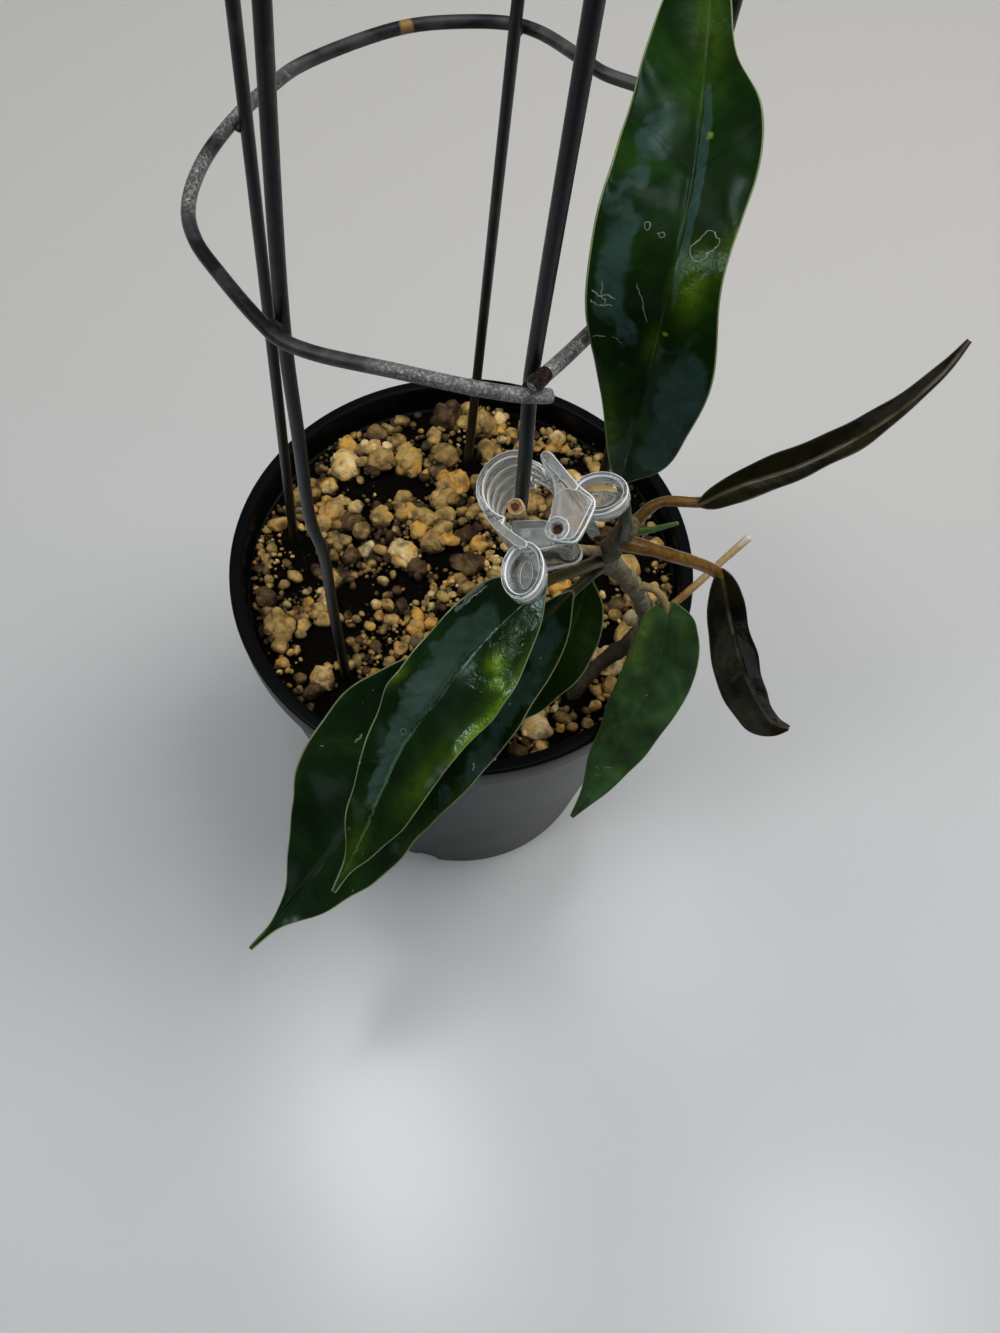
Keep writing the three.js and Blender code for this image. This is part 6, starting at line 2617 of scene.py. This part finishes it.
    def spring(self) -> Piece:
        """Winds the coil spring.

        Returns:
            The spring.
        """
        angles = np.linspace(0, FULL_TURN * self.coil_turns, 200)
        rounds = on_circle(self.coil, angles)
        levels = np.linspace(*self.coil_span, len(rounds))
        path = np.array([self.placed((x, y, w)) for (x, y), w in zip(rounds, levels)])
        return Bench.tube(path, np.full(len(path), self.coil_wire), 12)

    def pin(self) -> Piece:
        """Makes the hinge pin.

        Returns:
            The pin.
        """
        path = np.array([self.placed((0, 0, w)) for w in np.linspace(*self.pin_span, 12)])
        return Bench.tube(path, np.full(len(path), self.pin_radius), 32, dome=0.15)

    def build(self) -> None:
        """Builds the clip and lets each jaw ride on its own body."""
        Bench.hand_over(
            self.moving_jaw(), "clip_moving_jaw_shell", Slot.CLIP, [], ["clip_jaw_moving"], Body.JAW
        )
        Bench.hand_over(
            self.fixed_jaw(), "clip_fixed_jaw_shell", Slot.CLIP, [], ["clip_jaw_fixed"]
        )
        bright = SpringSteel("spring_steel", (0.42, 0.40, 0.37), (0.12, 0.06, 0.03), 0.35).build()
        # The pin's end shows in the knuckle hole: rust, and a painted shade that darkens it to near
        # black.
        rusty_and_shaded = SpringSteel("rusty_shaded_steel", (0.05, 0.025, 0.018), (0.055, 0.014, 0.006), 0.8).build()
        Bench.hand_over(self.spring(), "clip_coil_spring", Slot.STEEL, [bright], ["clip_spring"])
        Bench.hand_over(self.pin(), "clip_hinge_pin", Slot.STEEL, [rusty_and_shaded], ["clip_pin"])


# ---------------------------------------------------------------- studio


@dataclass(frozen=True)
class SoftLight:
    """A square area light that faces the plant."""

    name: str
    place: Point
    side: float
    watts: float
    colour: Colour = (1.0, 1.0, 1.0)
    mirrored: bool = False

    def build(self, target: Vector) -> None:
        """Hangs the light and turns it to the target.

        Args:
            target: What the light faces.
        """
        data = bpy.data.lights.new(self.name, "AREA")
        data.shape = "SQUARE"
        data.size = self.side
        data.energy = self.watts
        data.color = self.colour
        lamp = Bench.linked(self.name, data)
        lamp.location = self.place
        lamp.rotation_euler = (target - Vector(self.place)).to_track_quat("-Z", "Y").to_euler()
        lamp.visible_glossy = self.mirrored
        lamp.visible_transmission = self.mirrored


@dataclass(frozen=True)
class Glow:
    """A brighter part of the room, between two bounds along each axis of direction."""

    x: Flat
    y: Flat
    z: Flat
    strength: float
    soft: float = 0.06


@dataclass(frozen=True)
class Room:
    """The dim room round the table: a grey dome with a few brighter parts."""

    low: float = 0.04
    high: float = 0.09
    tint: Colour = (0.92, 0.98, 1.0)
    glows: tuple[Glow, ...] = (
        Glow((-0.04, 0.22), (-1.1, -0.6), (0.06, 0.36), 0.3, 0.08),
        Glow((-0.62, -0.34), (-1.1, -0.2), (-1.1, -0.30), 0.4),
        Glow((-0.9, -0.45), (-0.5, 0.1), (0.60, 0.84), 0.5),
        Glow((-0.66, -0.44), (-0.48, -0.26), (0.55, 0.88), 8.0, 0.04),
        Glow((0.70, 1.1), (-0.6, 0.0), (0.0, 0.22), 0.25, 0.05),
        Glow((0.08, 0.24), (-0.36, -0.22), (0.9, 1.1), 7.0, 0.03),
        Glow((-0.48, -0.30), (-0.05, 0.12), (0.8, 1.0), 1.5, 0.05),
        Glow((0.08, 0.20), (0.18, 0.31), (0.9, 1.1), 5.0, 0.035),
        Glow((-0.15, -0.02), (0.02, 0.19), (0.9, 1.1), 5.5, 0.035),
        Glow((-0.09, 0.03), (-0.07, 0.07), (0.9, 1.1), 5.5, 0.035),
        Glow((0.23, 0.37), (-0.13, 0.04), (0.8, 1.1), 4.5, 0.035),
    )

    def build(self) -> bpy.types.World:
        """Wires the room.

        Returns:
            The world.
        """
        s = Sketch("soft_room", bpy.data.worlds.new("soft_room"))
        way = s.split(s.coordinates["Generated"])
        light = s.band(way["Z"], 0.0, 0.9, self.low, self.high)
        for glow in self.glows:
            inside: object = glow.strength
            for axis, (low, high) in zip("XYZ", (glow.x, glow.y, glow.z)):
                rising = s.band(way[axis], low - glow.soft, low + glow.soft)
                falling = s.band(way[axis], high - glow.soft, high + glow.soft, 1, 0)
                inside = s.times(falling, s.times(rising, inside))
            light = s.plus(light, inside)
        background = s.tree.nodes["Background"]
        s.feed(background.inputs["Color"], self.tint)
        s.feed(background.inputs["Strength"], light)
        return s.owner


@dataclass(frozen=True)
class Studio:
    """A plain pale tabletop under soft light."""

    target: Point = (0.0, -0.02, 0.15)
    table: float = 4.0
    table_centre: Point = (0, 1.66, -0.0002)
    lights: tuple[SoftLight, ...] = (
        SoftLight("key_softbox", (0.56, 0.14, 1.2), 0.7, 10.4, (1.0, 0.99, 0.97)),
        SoftLight("top_softbox", (-0.2, 0.2, 1.5), 1.0, 5.2),
        SoftLight("left_lamp", (-0.78, -0.3, 1.1), 0.16, 0.3, mirrored=True),
    )

    def build(self) -> None:
        """Lays the tabletop and sets the lights and the room."""
        Bench.clear()
        bpy.ops.mesh.primitive_plane_add(size=self.table, location=self.table_centre)
        floor = bpy.context.object
        floor.name = "tabletop"
        Bench.settle(floor)
        floor.data.materials.append(Tabletop().build())
        for light in self.lights:
            light.build(Vector(self.target))
        bpy.context.scene.world = Room().build()
        bpy.context.scene.view_settings.view_transform = "Standard"


@dataclass(frozen=True)
class Viewpoint:
    """Where the picture is taken from: close over the plant, looking down and away."""

    place: Point = (0.011879, -0.151265, 0.364845)
    pitch: float = 1.1095305
    roll: float = 0.0838623
    lens: float = 29.707
    sensor: float = 36
    nearest: float = 0.01

    def build(self) -> None:
        """Sets the camera up."""
        data = bpy.data.cameras.new("picture")
        data.lens = self.lens
        data.sensor_width = self.sensor
        data.sensor_fit = "AUTO"
        data.clip_start = self.nearest
        camera = Bench.linked("picture", data)
        forward = Vector((0, math.cos(self.pitch), -math.sin(self.pitch)))
        up = Vector((0, math.sin(self.pitch), math.cos(self.pitch)))
        right = Vector((1, 0, 0))
        turned_right = right * math.cos(self.roll) + up * math.sin(self.roll)
        turned_up = up * math.cos(self.roll) - right * math.sin(self.roll)
        matrix = Matrix((turned_right, turned_up, -forward)).transposed().to_4x4()
        camera.matrix_world = Matrix.Translation(self.place) @ matrix
        bpy.context.scene.camera = camera


def main() -> None:
    """Builds the potted plant piece by piece, then the studio and the camera."""
    logging.basicConfig(level=logging.INFO, format="%(message)s")
    cage = WireCage()
    plant = HoyaPlant()
    NurseryPot().build()
    PottingMix().build([*cage.standing(), plant.path[1][:2]])
    cage.build()
    plant.build()
    SprungClip().build()
    Studio().build()
    Viewpoint().build()


if __name__ == "__main__":
    main()
